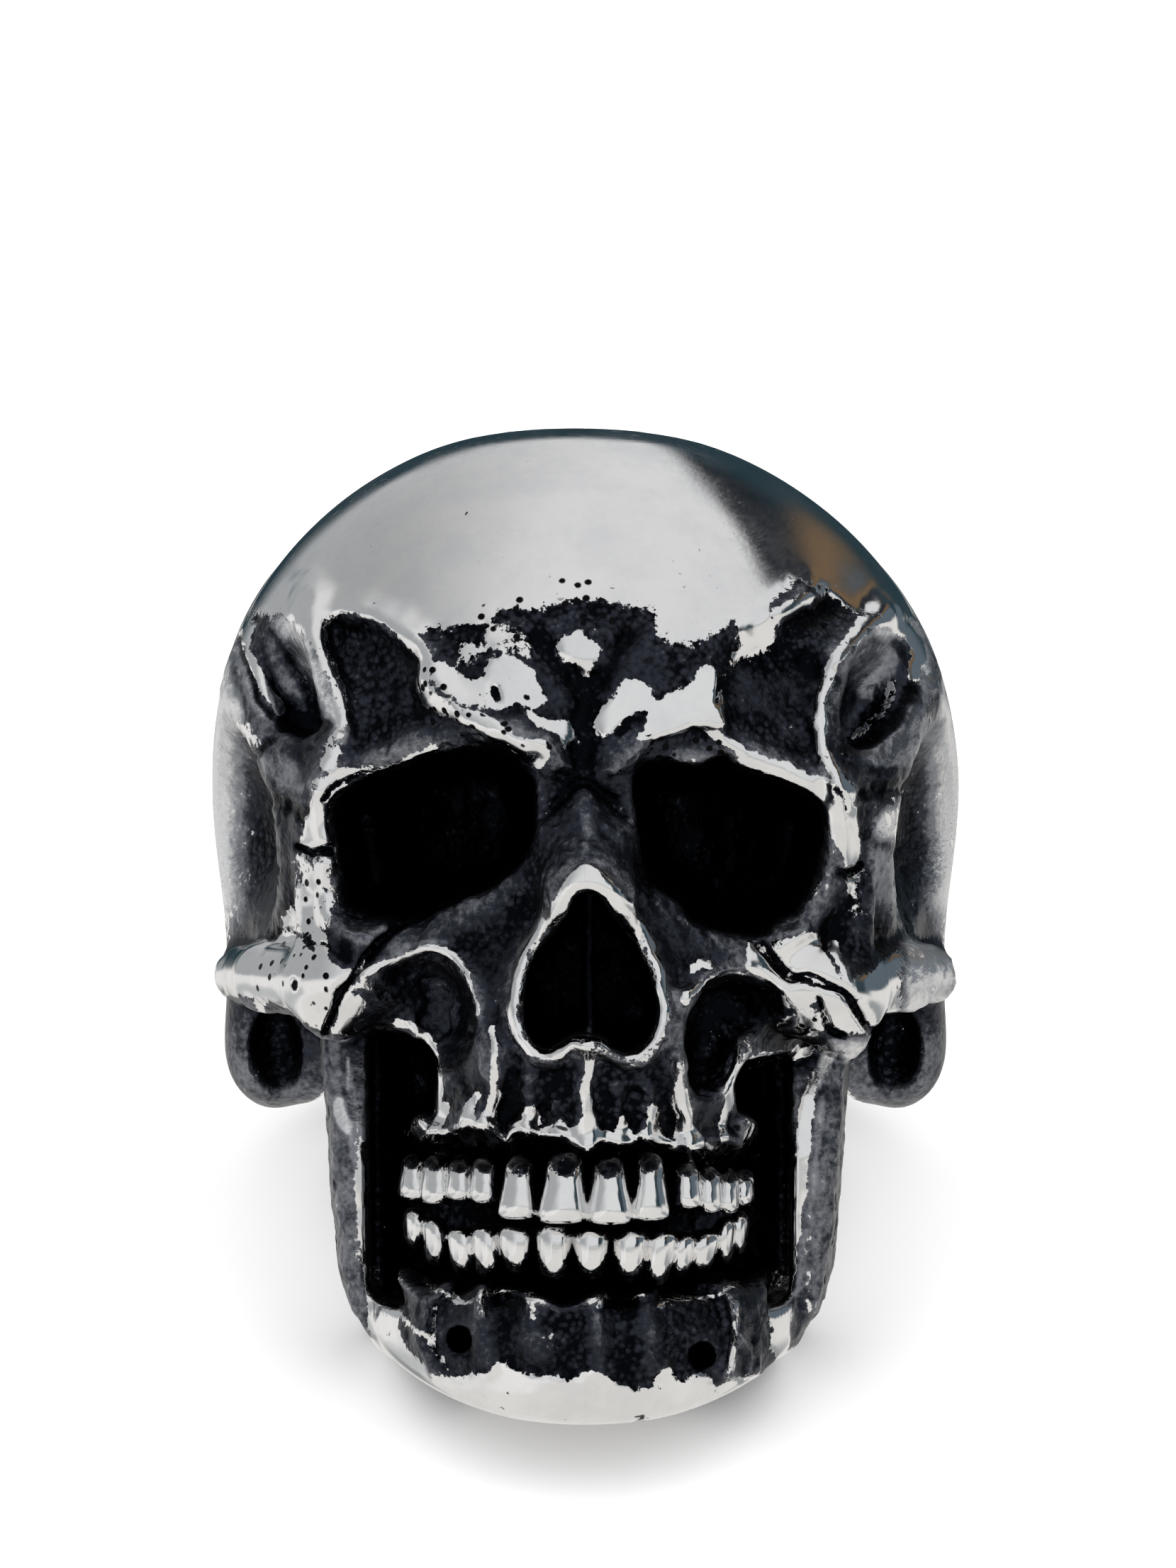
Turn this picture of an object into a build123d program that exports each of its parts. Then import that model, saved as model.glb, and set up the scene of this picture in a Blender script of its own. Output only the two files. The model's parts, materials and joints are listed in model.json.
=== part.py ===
from build123d import *
import math
import os
import numpy as np

# A heavy skull ring, cast in one piece. The skull stands over its chin: x runs to the
# right of the face, y from the face to the back of the finger, z up from the chin.
# The finger's bore lies on the z axis. At the end the ring is laid on its side, as it
# rests on a table: on the two corners of the jaw and the back of the band.

# Sizes, in millimetres
mm = 1.0
finger_bore = 20.6        # across the hole for the finger
band_wall = 2.5           # metal between the finger and the outside at the back
band_width = 9.0          # height of the band at the back
band_rise = 11.7          # from the chin up to the band's lower edge at the back
skull_width = 26.5        # over the temples
skull_height = 34.6       # from the chin to the crown
face_reach = 23.2         # from the bore's axis to the upper front teeth
closing_wall = 1.7        # metal left between the bore and the eyes, nose and mouth
tooth_depth = 3.2         # from a tooth's face to its back
jaw_gap = 0.4             # between the upper and the lower teeth
brow_depth = 0.62         # how far the hollows beside the brows lie back
rim_height = 0.62         # how far the rim of the nose stands out
cell = 0.44               # the finest mesh step, across the teeth

bore_radius = finger_bore / 2
band_outer = bore_radius + band_wall
half = max(skull_width / 2, band_outer)
floor_radius = bore_radius + closing_wall

# Places are shares of the named sizes: across of the skull's half width, forward of the
# face's reach, up of the skull's height. A row for both sides is written for the right.
BOTH, LEFT, RIGHT, MIDDLE = "both", "left", "right", "middle"

# Rounded masses: joined or cut, side, centre (across, forward, up), radii (the same three),
# roll in the face's plane and yaw in plan in degrees, blend in millimetres.
MASSES = [
    ("join", MIDDLE, (0.000, 0.517, 0.592), (0.785, 0.353, 0.202), 0, 0, 1.5),      # upper face
    ("join", MIDDLE, (0.000, 0.569, 0.390), (0.528, 0.371, 0.208), 0, 0, 1.5),      # upper jaw
    ("join", LEFT, (0.604, 0.720, 0.439), (0.174, 0.095, 0.051), -14, 30, 1.0),     # cheek bone
    ("join", RIGHT, (0.604, 0.720, 0.426), (0.174, 0.095, 0.051), -14, 30, 1.0),    # cheek bone
    ("cut", BOTH, (1.004, 0.474, 0.578), (0.242, 0.224, 0.113), 0, 0, 1.5),         # temple
    ("cut", LEFT, (0.780, 0.665, 0.738), (0.086, 0.084, 0.075), -32, 0, 0.9),       # oval hollow
    ("cut", RIGHT, (0.752, 0.675, 0.728), (0.084, 0.084, 0.075), -32, 0, 0.9),      # oval hollow
    ("cut", BOTH, (0.860, 0.474, 0.355), (0.196, 0.198, 0.055), 0, 0, 0.4),         # under the arch
    ("join", BOTH, (0.845, 0.138, 0.364), (0.113, 0.103, 0.066), 0, 0, 0.6),        # lobe
    ("cut", BOTH, (0.830, 0.233, 0.358), (0.068, 0.043, 0.046), 0, 0, 0.4),         # its dish
]

# Round bars: side, points (across, forward, up), radius at each as a share of the half width.
BARS = [
    (LEFT, [(0.657, 0.707, 0.431), (0.660, 0.716, 0.402)], [0.091, 0.060], 0.8),
    (RIGHT, [(0.657, 0.707, 0.418), (0.668, 0.716, 0.379)], [0.091, 0.060], 0.8),
    (BOTH, [(0.694, 0.690, 0.434), (0.830, 0.560, 0.437), (0.906, 0.409, 0.437), (0.913, 0.216, 0.437)],
     [0.094, 0.087, 0.072, 0.072], 0.6),
    (BOTH, [(0.513, 0.759, 0.662), (0.634, 0.728, 0.642), (0.691, 0.703, 0.601), (0.702, 0.698, 0.561),
            (0.702, 0.703, 0.520), (0.679, 0.716, 0.468)], [0.042, 0.060, 0.051, 0.045, 0.047, 0.068], 0.5),
]
NASAL_BONES = [(0.000, 0.793, 0.653), (0.004, 0.845, 0.595), (0.006, 0.901, 0.538)]
NASAL_RADII = [0.083, 0.094, 0.113]

# Outlines drawn on the front view (across, up)
LEFT_EYE = [(-0.657, 0.607), (-0.581, 0.636), (-0.460, 0.653), (-0.385, 0.663), (-0.215, 0.663),
            (-0.147, 0.642), (-0.128, 0.616), (-0.136, 0.569), (-0.215, 0.535), (-0.325, 0.514),
            (-0.423, 0.497), (-0.513, 0.497), (-0.589, 0.503), (-0.626, 0.517), (-0.645, 0.561)]
RIGHT_EYE = [(0.125, 0.617), (0.134, 0.645), (0.198, 0.653), (0.291, 0.650), (0.347, 0.659),
             (0.389, 0.650), (0.503, 0.636), (0.595, 0.617), (0.618, 0.592), (0.612, 0.560),
             (0.588, 0.530), (0.548, 0.507), (0.490, 0.493), (0.430, 0.481), (0.291, 0.493),
             (0.234, 0.514), (0.171, 0.533), (0.142, 0.555)]
NOSE = [(0.007, 0.527), (0.040, 0.520), (0.072, 0.503), (0.116, 0.482), (0.148, 0.464), (0.170, 0.439),
        (0.186, 0.414), (0.175, 0.389), (0.143, 0.372), (0.105, 0.368), (0.061, 0.375), (0.045, 0.381),
        (0.013, 0.384), (-0.025, 0.384), (-0.069, 0.375), (-0.112, 0.370), (-0.145, 0.385),
        (-0.161, 0.408), (-0.155, 0.435), (-0.139, 0.458), (-0.101, 0.476), (-0.063, 0.493),
        (-0.036, 0.514), (-0.020, 0.524)]
LEFT_BROW_HOLLOW = [(-0.595, 0.795), (-0.513, 0.785), (-0.427, 0.760), (-0.402, 0.725), (-0.312, 0.697),
                    (-0.195, 0.673), (-0.100, 0.654), (-0.047, 0.627), (-0.121, 0.600), (-0.382, 0.653),
                    (-0.550, 0.632), (-0.678, 0.635), (-0.619, 0.677), (-0.614, 0.703), (-0.665, 0.754),
                    (-0.672, 0.782)]
RIGHT_BROW_HOLLOW = [(0.340, 0.737), (0.332, 0.712), (0.354, 0.689), (0.278, 0.691), (0.181, 0.677),
                     (0.084, 0.641), (0.044, 0.614), (0.135, 0.600), (0.373, 0.642), (0.537, 0.635),
                     (0.619, 0.628), (0.597, 0.677), (0.606, 0.716), (0.632, 0.747), (0.537, 0.772),
                     (0.409, 0.772)]

# Lines of low relief on the front view: width and height as shares of the half width,
# a furrow's height below zero, then points (across, up).
RELIEF = [
    (0.045, 0.036, [(-0.714, 0.820), (-0.718, 0.788), (-0.674, 0.743), (-0.627, 0.704), (-0.627, 0.682),
                    (-0.696, 0.635)]),                                               # left temple ridge
    (0.045, 0.036, [(0.785, 0.804), (0.740, 0.786), (0.635, 0.745), (0.605, 0.701), (0.614, 0.661),
                    (0.683, 0.623)]),                                                # right temple ridge
    (0.028, 0.030, [(-0.569, 0.444), (-0.476, 0.462), (-0.383, 0.468), (-0.312, 0.443), (-0.279, 0.401),
                    (-0.259, 0.349)]),                                               # left hollow's rim
    (0.028, 0.030, [(0.262, 0.422), (0.300, 0.437), (0.372, 0.446), (0.450, 0.443), (0.505, 0.428)]),
    (0.028, 0.023, [(0.262, 0.422), (0.248, 0.405), (0.235, 0.357)]),                # right hollow's rim
    (0.034, 0.036, [(-0.226, 0.372), (-0.235, 0.344), (-0.248, 0.320), (-0.260, 0.295)]),   # canine roots
    (0.034, 0.038, [(0.239, 0.355), (0.250, 0.327), (0.264, 0.296), (0.275, 0.274)]),
    (0.034, 0.040, [(0.004, 0.373), (0.002, 0.339), (0.002, 0.307), (0.004, 0.278)]),       # nasal spine
    (0.060, 0.026, [(0.004, 0.297), (0.004, 0.278)]),
    (0.026, 0.026, [(-0.141, 0.345), (-0.148, 0.290)]),                              # roots
    (0.026, 0.026, [(-0.072, 0.318), (-0.070, 0.289)]),
    (0.026, 0.026, [(0.083, 0.338), (0.090, 0.282)]),
    (0.026, 0.026, [(0.161, 0.338), (0.155, 0.287)]),
    (0.026, 0.026, [(-0.307, 0.318), (-0.314, 0.298)]),
    (0.028, 0.036, [(-0.439, 0.300), (-0.408, 0.287), (-0.347, 0.291), (-0.309, 0.301), (-0.253, 0.296),
                    (-0.204, 0.280), (-0.172, 0.292), (-0.128, 0.286), (-0.069, 0.287), (0.004, 0.276),
                    (0.040, 0.284), (0.094, 0.278), (0.148, 0.285), (0.197, 0.280), (0.235, 0.274),
                    (0.284, 0.274), (0.341, 0.281), (0.397, 0.278), (0.419, 0.295)]),       # upper gum line
    (0.042, 0.034, [(-0.580, 0.797), (-0.511, 0.786), (-0.429, 0.761), (-0.400, 0.725), (-0.311, 0.697),
                    (-0.189, 0.675), (-0.107, 0.665), (-0.080, 0.649)]),             # left brow's edge
    (0.017, 0.020, [(0.336, 0.740), (0.331, 0.712), (0.349, 0.691), (0.276, 0.693), (0.180, 0.677),
                    (0.080, 0.644)]),                                                # right brow's edge
    (0.045, -0.034, [(0.004, 0.728), (0.000, 0.712), (-0.004, 0.677), (-0.005, 0.640)]),    # frown
    (0.028, -0.020, [(-0.035, 0.736), (-0.085, 0.755), (-0.125, 0.775)]),
    (0.028, -0.020, [(0.045, 0.735), (0.080, 0.757), (0.105, 0.782)]),
    (0.013, -0.020, [(-0.102, 0.601), (-0.062, 0.614), (-0.005, 0.633), (0.065, 0.614), (0.098, 0.601)]),
    (0.015, 0.019, [(-0.483, 0.141), (-0.410, 0.125), (-0.319, 0.141), (-0.265, 0.143), (-0.272, 0.114)]),
    (0.018, 0.023, [(-0.264, 0.133), (-0.191, 0.136), (-0.047, 0.122), (0.097, 0.144), (0.143, 0.136),
                    (0.227, 0.143), (0.350, 0.139)]),                                # lower gum line
    (0.017, 0.023, [(-0.419, 0.114), (-0.430, 0.092), (-0.426, 0.074), (-0.393, 0.057)]),
    (0.019, 0.030, [(0.373, 0.128), (0.384, 0.104), (0.391, 0.083), (0.373, 0.051)]),
    (0.015, 0.023, [(0.400, 0.088), (0.425, 0.070), (0.436, 0.053)]),
    (0.034, 0.018, [(-0.275, 0.126), (-0.255, 0.066)]),                              # roots in the chin
    (0.034, 0.018, [(-0.136, 0.120), (-0.130, 0.076)]),
    (0.036, 0.020, [(0.024, 0.124), (0.032, 0.056)]),
    (0.034, 0.018, [(0.159, 0.122), (0.175, 0.066)]),
    (0.009, -0.028, [(-0.472, 0.495), (-0.521, 0.478), (-0.582, 0.449), (-0.615, 0.434), (-0.642, 0.415),
                     (-0.670, 0.386)]),                                              # left cheek's crack
    (0.009, -0.028, [(0.448, 0.470), (0.486, 0.455), (0.525, 0.442), (0.569, 0.440), (0.657, 0.430),
                     (0.684, 0.415), (0.739, 0.390)]),                               # right cheek's crack
    (0.007, -0.020, [(0.598, 0.423), (0.613, 0.406), (0.629, 0.390), (0.668, 0.383)]),
    (0.010, -0.030, [(-0.739, 0.568), (-0.695, 0.565), (-0.651, 0.567)]),
    (0.010, -0.030, [(0.647, 0.547), (0.677, 0.542), (0.710, 0.547)]),
    (0.034, 0.026, [(0.501, 0.800), (0.536, 0.811), (0.576, 0.821)]),                # right temple's tab
    (0.030, -0.030, [(0.526, 0.787), (0.577, 0.793), (0.623, 0.804)]),
]

# Teeth: middle and half width at the biting edge, edge's height, middle and half width at the
# root, root's height, and how far forward the face stands.
UPPER_TEETH = [
    (-0.453, 0.028, 0.222, -0.449, 0.017, 0.260, 0.741),
    (-0.389, 0.031, 0.220, -0.386, 0.025, 0.260, 0.815),
    (-0.323, 0.027, 0.225, -0.323, 0.020, 0.259, 0.879),
    (-0.260, 0.028, 0.224, -0.259, 0.020, 0.261, 0.927),
    (-0.172, 0.044, 0.210, -0.168, 0.023, 0.263, 0.970),
    (-0.058, 0.056, 0.207, -0.052, 0.032, 0.266, 1.000),
    (0.061, 0.052, 0.206, 0.060, 0.028, 0.263, 1.000),
    (0.162, 0.045, 0.209, 0.165, 0.021, 0.267, 0.974),
    (0.262, 0.027, 0.219, 0.258, 0.021, 0.257, 0.931),
    (0.319, 0.024, 0.213, 0.318, 0.018, 0.252, 0.879),
    (0.370, 0.020, 0.211, 0.370, 0.016, 0.247, 0.819),
    (0.413, 0.017, 0.216, 0.414, 0.015, 0.245, 0.750),
]
LOWER_TEETH = [
    (-0.446, 0.020, 0.205, -0.441, 0.017, 0.171, 0.733),
    (-0.392, 0.023, 0.197, -0.380, 0.022, 0.154, 0.789),
    (-0.321, 0.026, 0.190, -0.311, 0.024, 0.148, 0.849),
    (-0.256, 0.027, 0.193, -0.245, 0.024, 0.147, 0.901),
    (-0.177, 0.036, 0.196, -0.173, 0.022, 0.154, 0.944),
    (-0.080, 0.037, 0.197, -0.079, 0.022, 0.147, 0.974),
    (0.014, 0.037, 0.194, 0.014, 0.022, 0.148, 0.981),
    (0.112, 0.036, 0.192, 0.108, 0.022, 0.147, 0.970),
    (0.192, 0.032, 0.190, 0.179, 0.018, 0.143, 0.944),
    (0.251, 0.021, 0.186, 0.239, 0.018, 0.148, 0.901),
    (0.308, 0.028, 0.186, 0.291, 0.022, 0.148, 0.853),
    (0.363, 0.016, 0.197, 0.353, 0.016, 0.156, 0.797),
    (0.403, 0.014, 0.201, 0.394, 0.013, 0.163, 0.741),
]
MENTAL_HOLES = [(-0.346, 0.086), (0.319, 0.070)]
mental_near, mental_far = (1.08, 0.036), (0.754, 0.032)     # their ends: forward, and radius

# The hollows under the eyes: side, centre and radii (across, forward, up), and their turn in the
# face's plane and in plan, in degrees
CHEEK_HOLLOWS = [
    (-1, (0.389, 0.888, 0.403), (0.109, 0.142, 0.062), -9, 0),
    (1, (0.352, 0.885, 0.380), (0.096, 0.130, 0.063), -9, 10),
    (1, (0.425, 0.862, 0.408), (0.130, 0.118, 0.038), -9, 24),
]

# The brain case: its middle (across, forward, up), then shares of the half width, the reach and
# the height
case_middle = (0.0, 0.388, 0.636)
case_half = 0.996       # its half width
case_reach = 0.496      # from its middle forward to the forehead
crown_rise = 0.362      # from its middle up to the crown
crown_lean = 0.028      # how far the crown's top lies to the left, a share of its own height
case_floor = 0.347      # height of its lower end

# The ring's upper edge, and the band with its shoulders
roof_peak = 1.015       # height of the upper edge over the face
roof_start = 0.431      # how far forward it begins to fall
roof_bend = 1.35        # how much its slope hollows
shoulder_front = 0.26   # how far forward the shoulders run
shoulder_slack = 0.2 * mm               # how much narrower they are than the skull
shoulder_middle = 0.49                  # height of their bulge's middle
shoulder_full, shoulder_end = 0.09, 0.26      # how far above and below it the bulge is whole, and gone
bulge_back, bulge_front = 0.39, -0.09   # how far back it is gone, and whole
# The band's lower edge: place back, and height as a share of the band's rise
BAND_UNDER = [(-0.35, 0.900), (-0.17, 0.889), (0, 0.906), (0.17, 0.932), (0.34, 0.966), (0.55, 1.0)]

# The lower jaw: half width over its height (up, across), and its lower edge (forward, up)
JAW_HALF = [(0, 0.28), (0.035, 0.39), (0.058, 0.490), (0.078, 0.570), (0.1035, 0.625), (0.150, 0.655),
            (0.231, 0.675), (0.289, 0.684), (0.405, 0.706)]
JAW_UNDER = [(0.30, 0.095), (0.345, 0.087), (0.603, 0.026), (0.862, 0.004)]
jaw_arch, arch_half = 0.028, 0.49       # rise of the arch under the chin, and its half width
arch_back, arch_front = 0.45, 0.60      # how far forward the arch is whole, and gone
jaw_rear, jaw_top = 0.353, 0.448        # its rear edge at the corner, and the top of its branch
corner_up = 0.101                       # height of the corner
rear_slope = 0.25                       # how the rear edge leans back above the corner
branch_lead, branch_turn = 0.62, 0.26   # the branch's front edge, and the height where it leans
chin_half, chin_back, chin_reach = 0.575, 0.496, 0.457      # the chin's half oval in plan
chin_middle, chin_top = 0.0925, 0.126   # heights of its fullest line and of its top
chin_rear = 0.302                       # how far forward its rear side lies
# Side, the branch's inner face, the gap's outer face, and how far the gap's top lies below GAP_TOP
JAW_BRANCHES = [(-1, 0.540, 0.570, 0), (1, 0.502, 0.536, 0.023)]

# The mouth: the gaps beside the tooth rows (up, across; then across, up) and the slot of the teeth
GAP_INNER = [(0.101, 0.453), (0.145, 0.479), (0.275, 0.491), (0.303, 0.389), (0.361, 0.377), (0.393, 0.423)]
GAP_TOP = [(0.340, 0.353), (0.415, 0.382), (0.528, 0.384), (0.679, 0.373)]
gap_floor = 0.104
slot_half, slot_middle, slot_rise = 0.528, 0.201, 0.071
row_half, row_back, row_bow = 0.521, 0.625, 0.323           # the tooth row's half oval in plan
row_depth = 0.9 * mm                    # how far the slot goes behind the row
tooth_over, tooth_root = 0.10 * mm, 1.06      # how far a tooth passes its edge, and its root's share


def place(across, forward, up):
    """A point from its shares."""
    return np.array([across * half, -forward * face_reach, up * skull_height])


def front(points):
    """Points of the front view from their shares."""
    return np.array([(across * half, up * skull_height) for across, up in points])


def soft_join(a, b, blend):
    """The lesser of two distances, with the crease between them filled over the blend."""
    h = np.maximum(blend - np.abs(a - b), 0.0) / blend
    return np.minimum(a, b) - h * h * blend / 4


def soft_meet(a, b, blend):
    """What two solids share, with its edge rounded over the blend."""
    return -soft_join(-a, -b, blend)


def soft_cut(a, b, blend):
    """The first solid without the second."""
    return soft_meet(a, -b, blend)


def ease(start, end, value):
    """A smooth step from 0 at start to 1 at end."""
    t = np.clip((value - start) / (end - start), 0.0, 1.0)
    return t * t * (3 - 2 * t)


def smooth_line(points, closed=False, steps=5):
    """A curve through the points, each stretch a cubic whose ends lean as their neighbours lie."""
    p = np.asarray(points, float)
    if closed:
        before, after, beyond = np.roll(p, 1, 0), np.roll(p, -1, 0), np.roll(p, -2, 0)
        start = p
    else:
        wide = np.vstack([2 * p[0] - p[1], p, 2 * p[-1] - p[-2]])
        before, start, after, beyond = wide[:-3], wide[1:-2], wide[2:-1], wide[3:]
    t = (np.arange(steps) / steps)[None, :, None]
    before, start, after, beyond = before[:, None], start[:, None], after[:, None], beyond[:, None]
    line = 0.5 * (2 * start + (after - before) * t + (2 * before - 5 * start + 4 * after - beyond) * t ** 2
                  + (3 * start - before - 3 * after + beyond) * t ** 3)
    line = line.reshape(-1, p.shape[1])
    return line if closed else np.vstack([line, p[-1:]])


def line_distance(u, w, line):
    """Distance in the plane to an open line."""
    best = np.full(u.shape, np.inf)
    for (ax, ay), (bx, by) in zip(line[:-1], line[1:]):
        ex, ey = bx - ax, by - ay
        t = np.clip(((u - ax) * ex + (w - ay) * ey) / (ex * ex + ey * ey), 0, 1)
        best = np.minimum(best, (u - ax - ex * t) ** 2 + (w - ay - ey * t) ** 2)
    return np.sqrt(best)


def loop_distance(u, w, loop):
    """Distance in the plane to a closed line, below zero inside it."""
    best = np.full(u.shape, np.inf)
    sign = np.ones(u.shape)
    for (ax, ay), (bx, by) in zip(loop, np.roll(loop, 1, 0)):
        ex, ey = bx - ax, by - ay
        wx, wy = u - ax, w - ay
        t = np.clip((wx * ex + wy * ey) / (ex * ex + ey * ey), 0, 1)
        best = np.minimum(best, (wx - ex * t) ** 2 + (wy - ey * t) ** 2)
        above, below, beside = w >= ay, w < by, ex * wy > ey * wx
        sign = np.where((above & below & beside) | ~(above | below | beside), -sign, sign)
    return sign * np.sqrt(best)


class Sheet:
    """Heights drawn on a grid over the front view and read back between its nodes."""

    def __init__(self, step, low, high, level=0.0):
        self.step, self.low = step, np.array(low)
        self.u, self.w = np.meshgrid(*[np.arange(low[n], high[n], step) for n in (0, 1)], indexing="ij")
        self.height = np.full(self.u.shape, level)

    def window(self, points, margin):
        """The part of the grid round some points."""
        low = np.floor((np.min(points, 0) - margin - self.low) / self.step).astype(int)
        high = np.ceil((np.max(points, 0) + margin - self.low) / self.step).astype(int) + 1
        low, high = np.clip(low, 0, self.u.shape), np.clip(high, 0, self.u.shape)
        return slice(low[0], high[0]), slice(low[1], high[1])

    def near_line(self, points, reach):
        """The part of the grid near a line through the points, and its distance from the line."""
        path = smooth_line(points) if len(points) > 2 else np.asarray(points, float)
        spot = self.window(path, reach)
        return spot, line_distance(self.u[spot], self.w[spot], path)

    def near_loop(self, points, reach):
        """The same for a closed line, with the distance below zero inside it."""
        path = smooth_line(points, closed=True)
        spot = self.window(path, reach)
        return spot, loop_distance(self.u[spot], self.w[spot], path)

    def read(self, u, w):
        """The height at points of the front view."""
        i = np.clip((u - self.low[0]) / self.step, 0, self.u.shape[0] - 1.001)
        j = np.clip((w - self.low[1]) / self.step, 0, self.u.shape[1] - 1.001)
        i0, j0 = i.astype(int), j.astype(int)
        a, b = i - i0, j - j0
        h = self.height
        return ((1 - a) * (1 - b) * h[i0, j0] + a * (1 - b) * h[i0 + 1, j0]
                + (1 - a) * b * h[i0, j0 + 1] + a * b * h[i0 + 1, j0 + 1])


def front_sheet(step, level=0.0):
    """A sheet over the whole front of the skull."""
    return Sheet(step, (-1.06 * half, -0.04 * skull_height), (1.06 * half, 1.04 * skull_height), level)


def outline_sheet(step, points):
    """The distance to a closed outline of the front view, near it; further off a large number."""
    sheet = front_sheet(step, 3 * mm)
    spot, away = sheet.near_loop(front(points), 3 * mm)
    sheet.height[spot] = away
    return sheet


def egg(x, y, z, centre, radii, roll=0, yaw=0):
    """Distance to an ellipsoid, turned in the face's plane by roll and in plan by yaw."""
    x, y, z = x - centre[0], y - centre[1], z - centre[2]
    c, s = math.cos(math.radians(yaw)), math.sin(math.radians(yaw))
    x, y = c * x + s * y, c * y - s * x
    c, s = math.cos(math.radians(roll)), math.sin(math.radians(roll))
    x, z = c * x + s * z, c * z - s * x
    rx, ry, rz = radii
    q = np.sqrt((x / rx) ** 2 + (y / ry) ** 2 + (z / rz) ** 2) + 1e-6
    slope = np.sqrt((x / rx ** 2) ** 2 + (y / ry ** 2) ** 2 + (z / rz ** 2) ** 2) + 1e-6 / mm
    return q * (q - 1) / slope


def bar(x, y, z, points, radii):
    """Distance to a round bar through points, its radius changing evenly between them."""
    field = None
    for a, b, start, end in zip(points[:-1], points[1:], radii[:-1], radii[1:]):
        run = b - a
        qx, qy, qz = x - a[0], y - a[1], z - a[2]
        t = np.clip((qx * run[0] + qy * run[1] + qz * run[2]) / (run @ run), 0, 1)
        away = np.sqrt((qx - t * run[0]) ** 2 + (qy - t * run[1]) ** 2 + (qz - t * run[2]) ** 2)
        away = away - (start + (end - start) * t)
        field = away if field is None else soft_join(field, away, 0.3 * mm)
    return field


def profile(value, table):
    """A height read between the rows of a short table of (place, height)."""
    return np.interp(value, [row[0] for row in table], [row[1] for row in table])


def cranium(x, y, z):
    """The brain case: an ellipsoid in front, carried straight back over the shoulders."""
    centre = place(*case_middle)
    rx, ry, rz = case_half * half, case_reach * face_reach, crown_rise * skull_height
    x, back = x + crown_lean * np.maximum(z - centre[2], 0), np.minimum(y - centre[1], 0)
    q = np.sqrt((x / rx) ** 2 + (back / ry) ** 2 + ((z - centre[2]) / rz) ** 2) + 1e-6
    slope = np.sqrt((x / rx ** 2) ** 2 + (back / ry ** 2) ** 2 + ((z - centre[2]) / rz ** 2) ** 2) + 1e-6 / mm
    field = soft_meet(q * (q - 1) / slope, y, 3 * mm)
    return soft_meet(field, case_floor * skull_height - z, 2 * mm)


def roof(y):
    """Height of the ring's upper edge: from the crown down to the band at the back."""
    back_top = band_rise + band_width
    share = np.clip((band_outer - y) / (band_outer + roof_start * face_reach), 0, 1)
    return back_top + (roof_peak * skull_height - back_top) * share ** roof_bend


def shank(x, y, z):
    """Band and shoulders: straight sides in front, round at the back, domed like the skull above."""
    outside = np.sqrt(x ** 2 + np.maximum(y, 0) ** 2) - band_outer
    bulge = (half - shoulder_slack - band_outer) * ease(bulge_back, bulge_front, y / face_reach) \
        * ease(shoulder_end, shoulder_full, np.abs(z / skull_height - shoulder_middle))
    above = np.maximum(z - case_middle[2] * skull_height, 0)
    across, up = (x + crown_lean * above) / (case_half * half), above / (crown_rise * skull_height)
    dome = np.sqrt(across ** 2 + up ** 2)
    dome = (dome - 1) * 0.95 * half
    under = profile(y / face_reach, BAND_UNDER) * band_rise
    field = soft_meet(outside - bulge, dome, 1 * mm)
    field = soft_meet(field, np.maximum(z - roof(y), under - z), 2.2 * mm)
    return soft_meet(field, -y - shoulder_front * face_reach, 2.5 * mm)


def jaw_half(z):
    """Half width of the lower jaw over its height."""
    return half * profile(z / skull_height, JAW_HALF)


def jaw_under(x, y):
    """Lower edge of the jaw: up from the chin to the corners, arched between them."""
    rise = profile(-y / face_reach, JAW_UNDER) * skull_height
    arch = jaw_arch * skull_height * np.clip(1 - (x / (arch_half * half)) ** 2, 0, 1) \
        * ease(arch_front, arch_back, -y / face_reach)
    side = 0.026 * x ** 2 / mm * ease(0.45, 0.65, -y / face_reach)
    return rise + arch + side


def jaw_back(z):
    """How far back the jaw reaches over its height."""
    return -jaw_rear * face_reach + rear_slope * np.clip(z - corner_up * skull_height, 0, 0.35 * skull_height)


def closing(x, y, z):
    """The wall between the finger and the mouth."""
    field = soft_meet(np.sqrt(x ** 2 + y ** 2) - floor_radius + 0.1 * mm,
                      np.maximum(jaw_under(x, y) - z, z - 0.52 * skull_height), 0.8 * mm)
    field = soft_meet(field, np.abs(x) - jaw_half(z) + 0.1 * mm, 0.8 * mm)
    return soft_meet(field, y - jaw_back(z), 1.2 * mm)


def ramus(x, y, z, inner):
    """The upright branch of the jaw: a plate from the jaw's corner to under the arch."""
    outer = x - jaw_half(z) + 0.05 * np.maximum(-y / mm - 0.474 * face_reach / mm, 0) ** 1.5 * mm
    lead = -(y + branch_lead * face_reach - rear_slope * np.maximum(z - branch_turn * skull_height, 0))
    field = soft_meet(soft_meet(outer, inner - x, 0.5 * mm), lead, 0.7 * mm)
    field = soft_meet(field, jaw_under(x, y) - z, 1.2 * mm)
    return soft_meet(field, np.maximum(z - jaw_top * skull_height, y - jaw_back(z)), 0.8 * mm)


def jaw_body(x, y, z):
    """The jaw's front: half an oval in plan, leaning in above and below."""
    lead = np.minimum(y + chin_back * face_reach, 0) / (chin_reach * face_reach)
    oval = (np.sqrt((x / (chin_half * half)) ** 2 + lead ** 2) - 1) * 0.65 * half
    oval = oval + 0.096 * mm * (np.abs(z - chin_middle * skull_height) / mm) ** 1.3
    top = chin_top * skull_height + 0.012 * x ** 2 / mm
    field = soft_meet(oval, np.maximum(jaw_under(x, y) - z, z - top), 1.1 * mm)
    field = soft_meet(field, y + chin_rear * face_reach, 0.8 * mm)
    return soft_meet(field, bore_radius + 0.6 * mm - np.sqrt(x ** 2 + y ** 2), 0.4 * mm)


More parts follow.
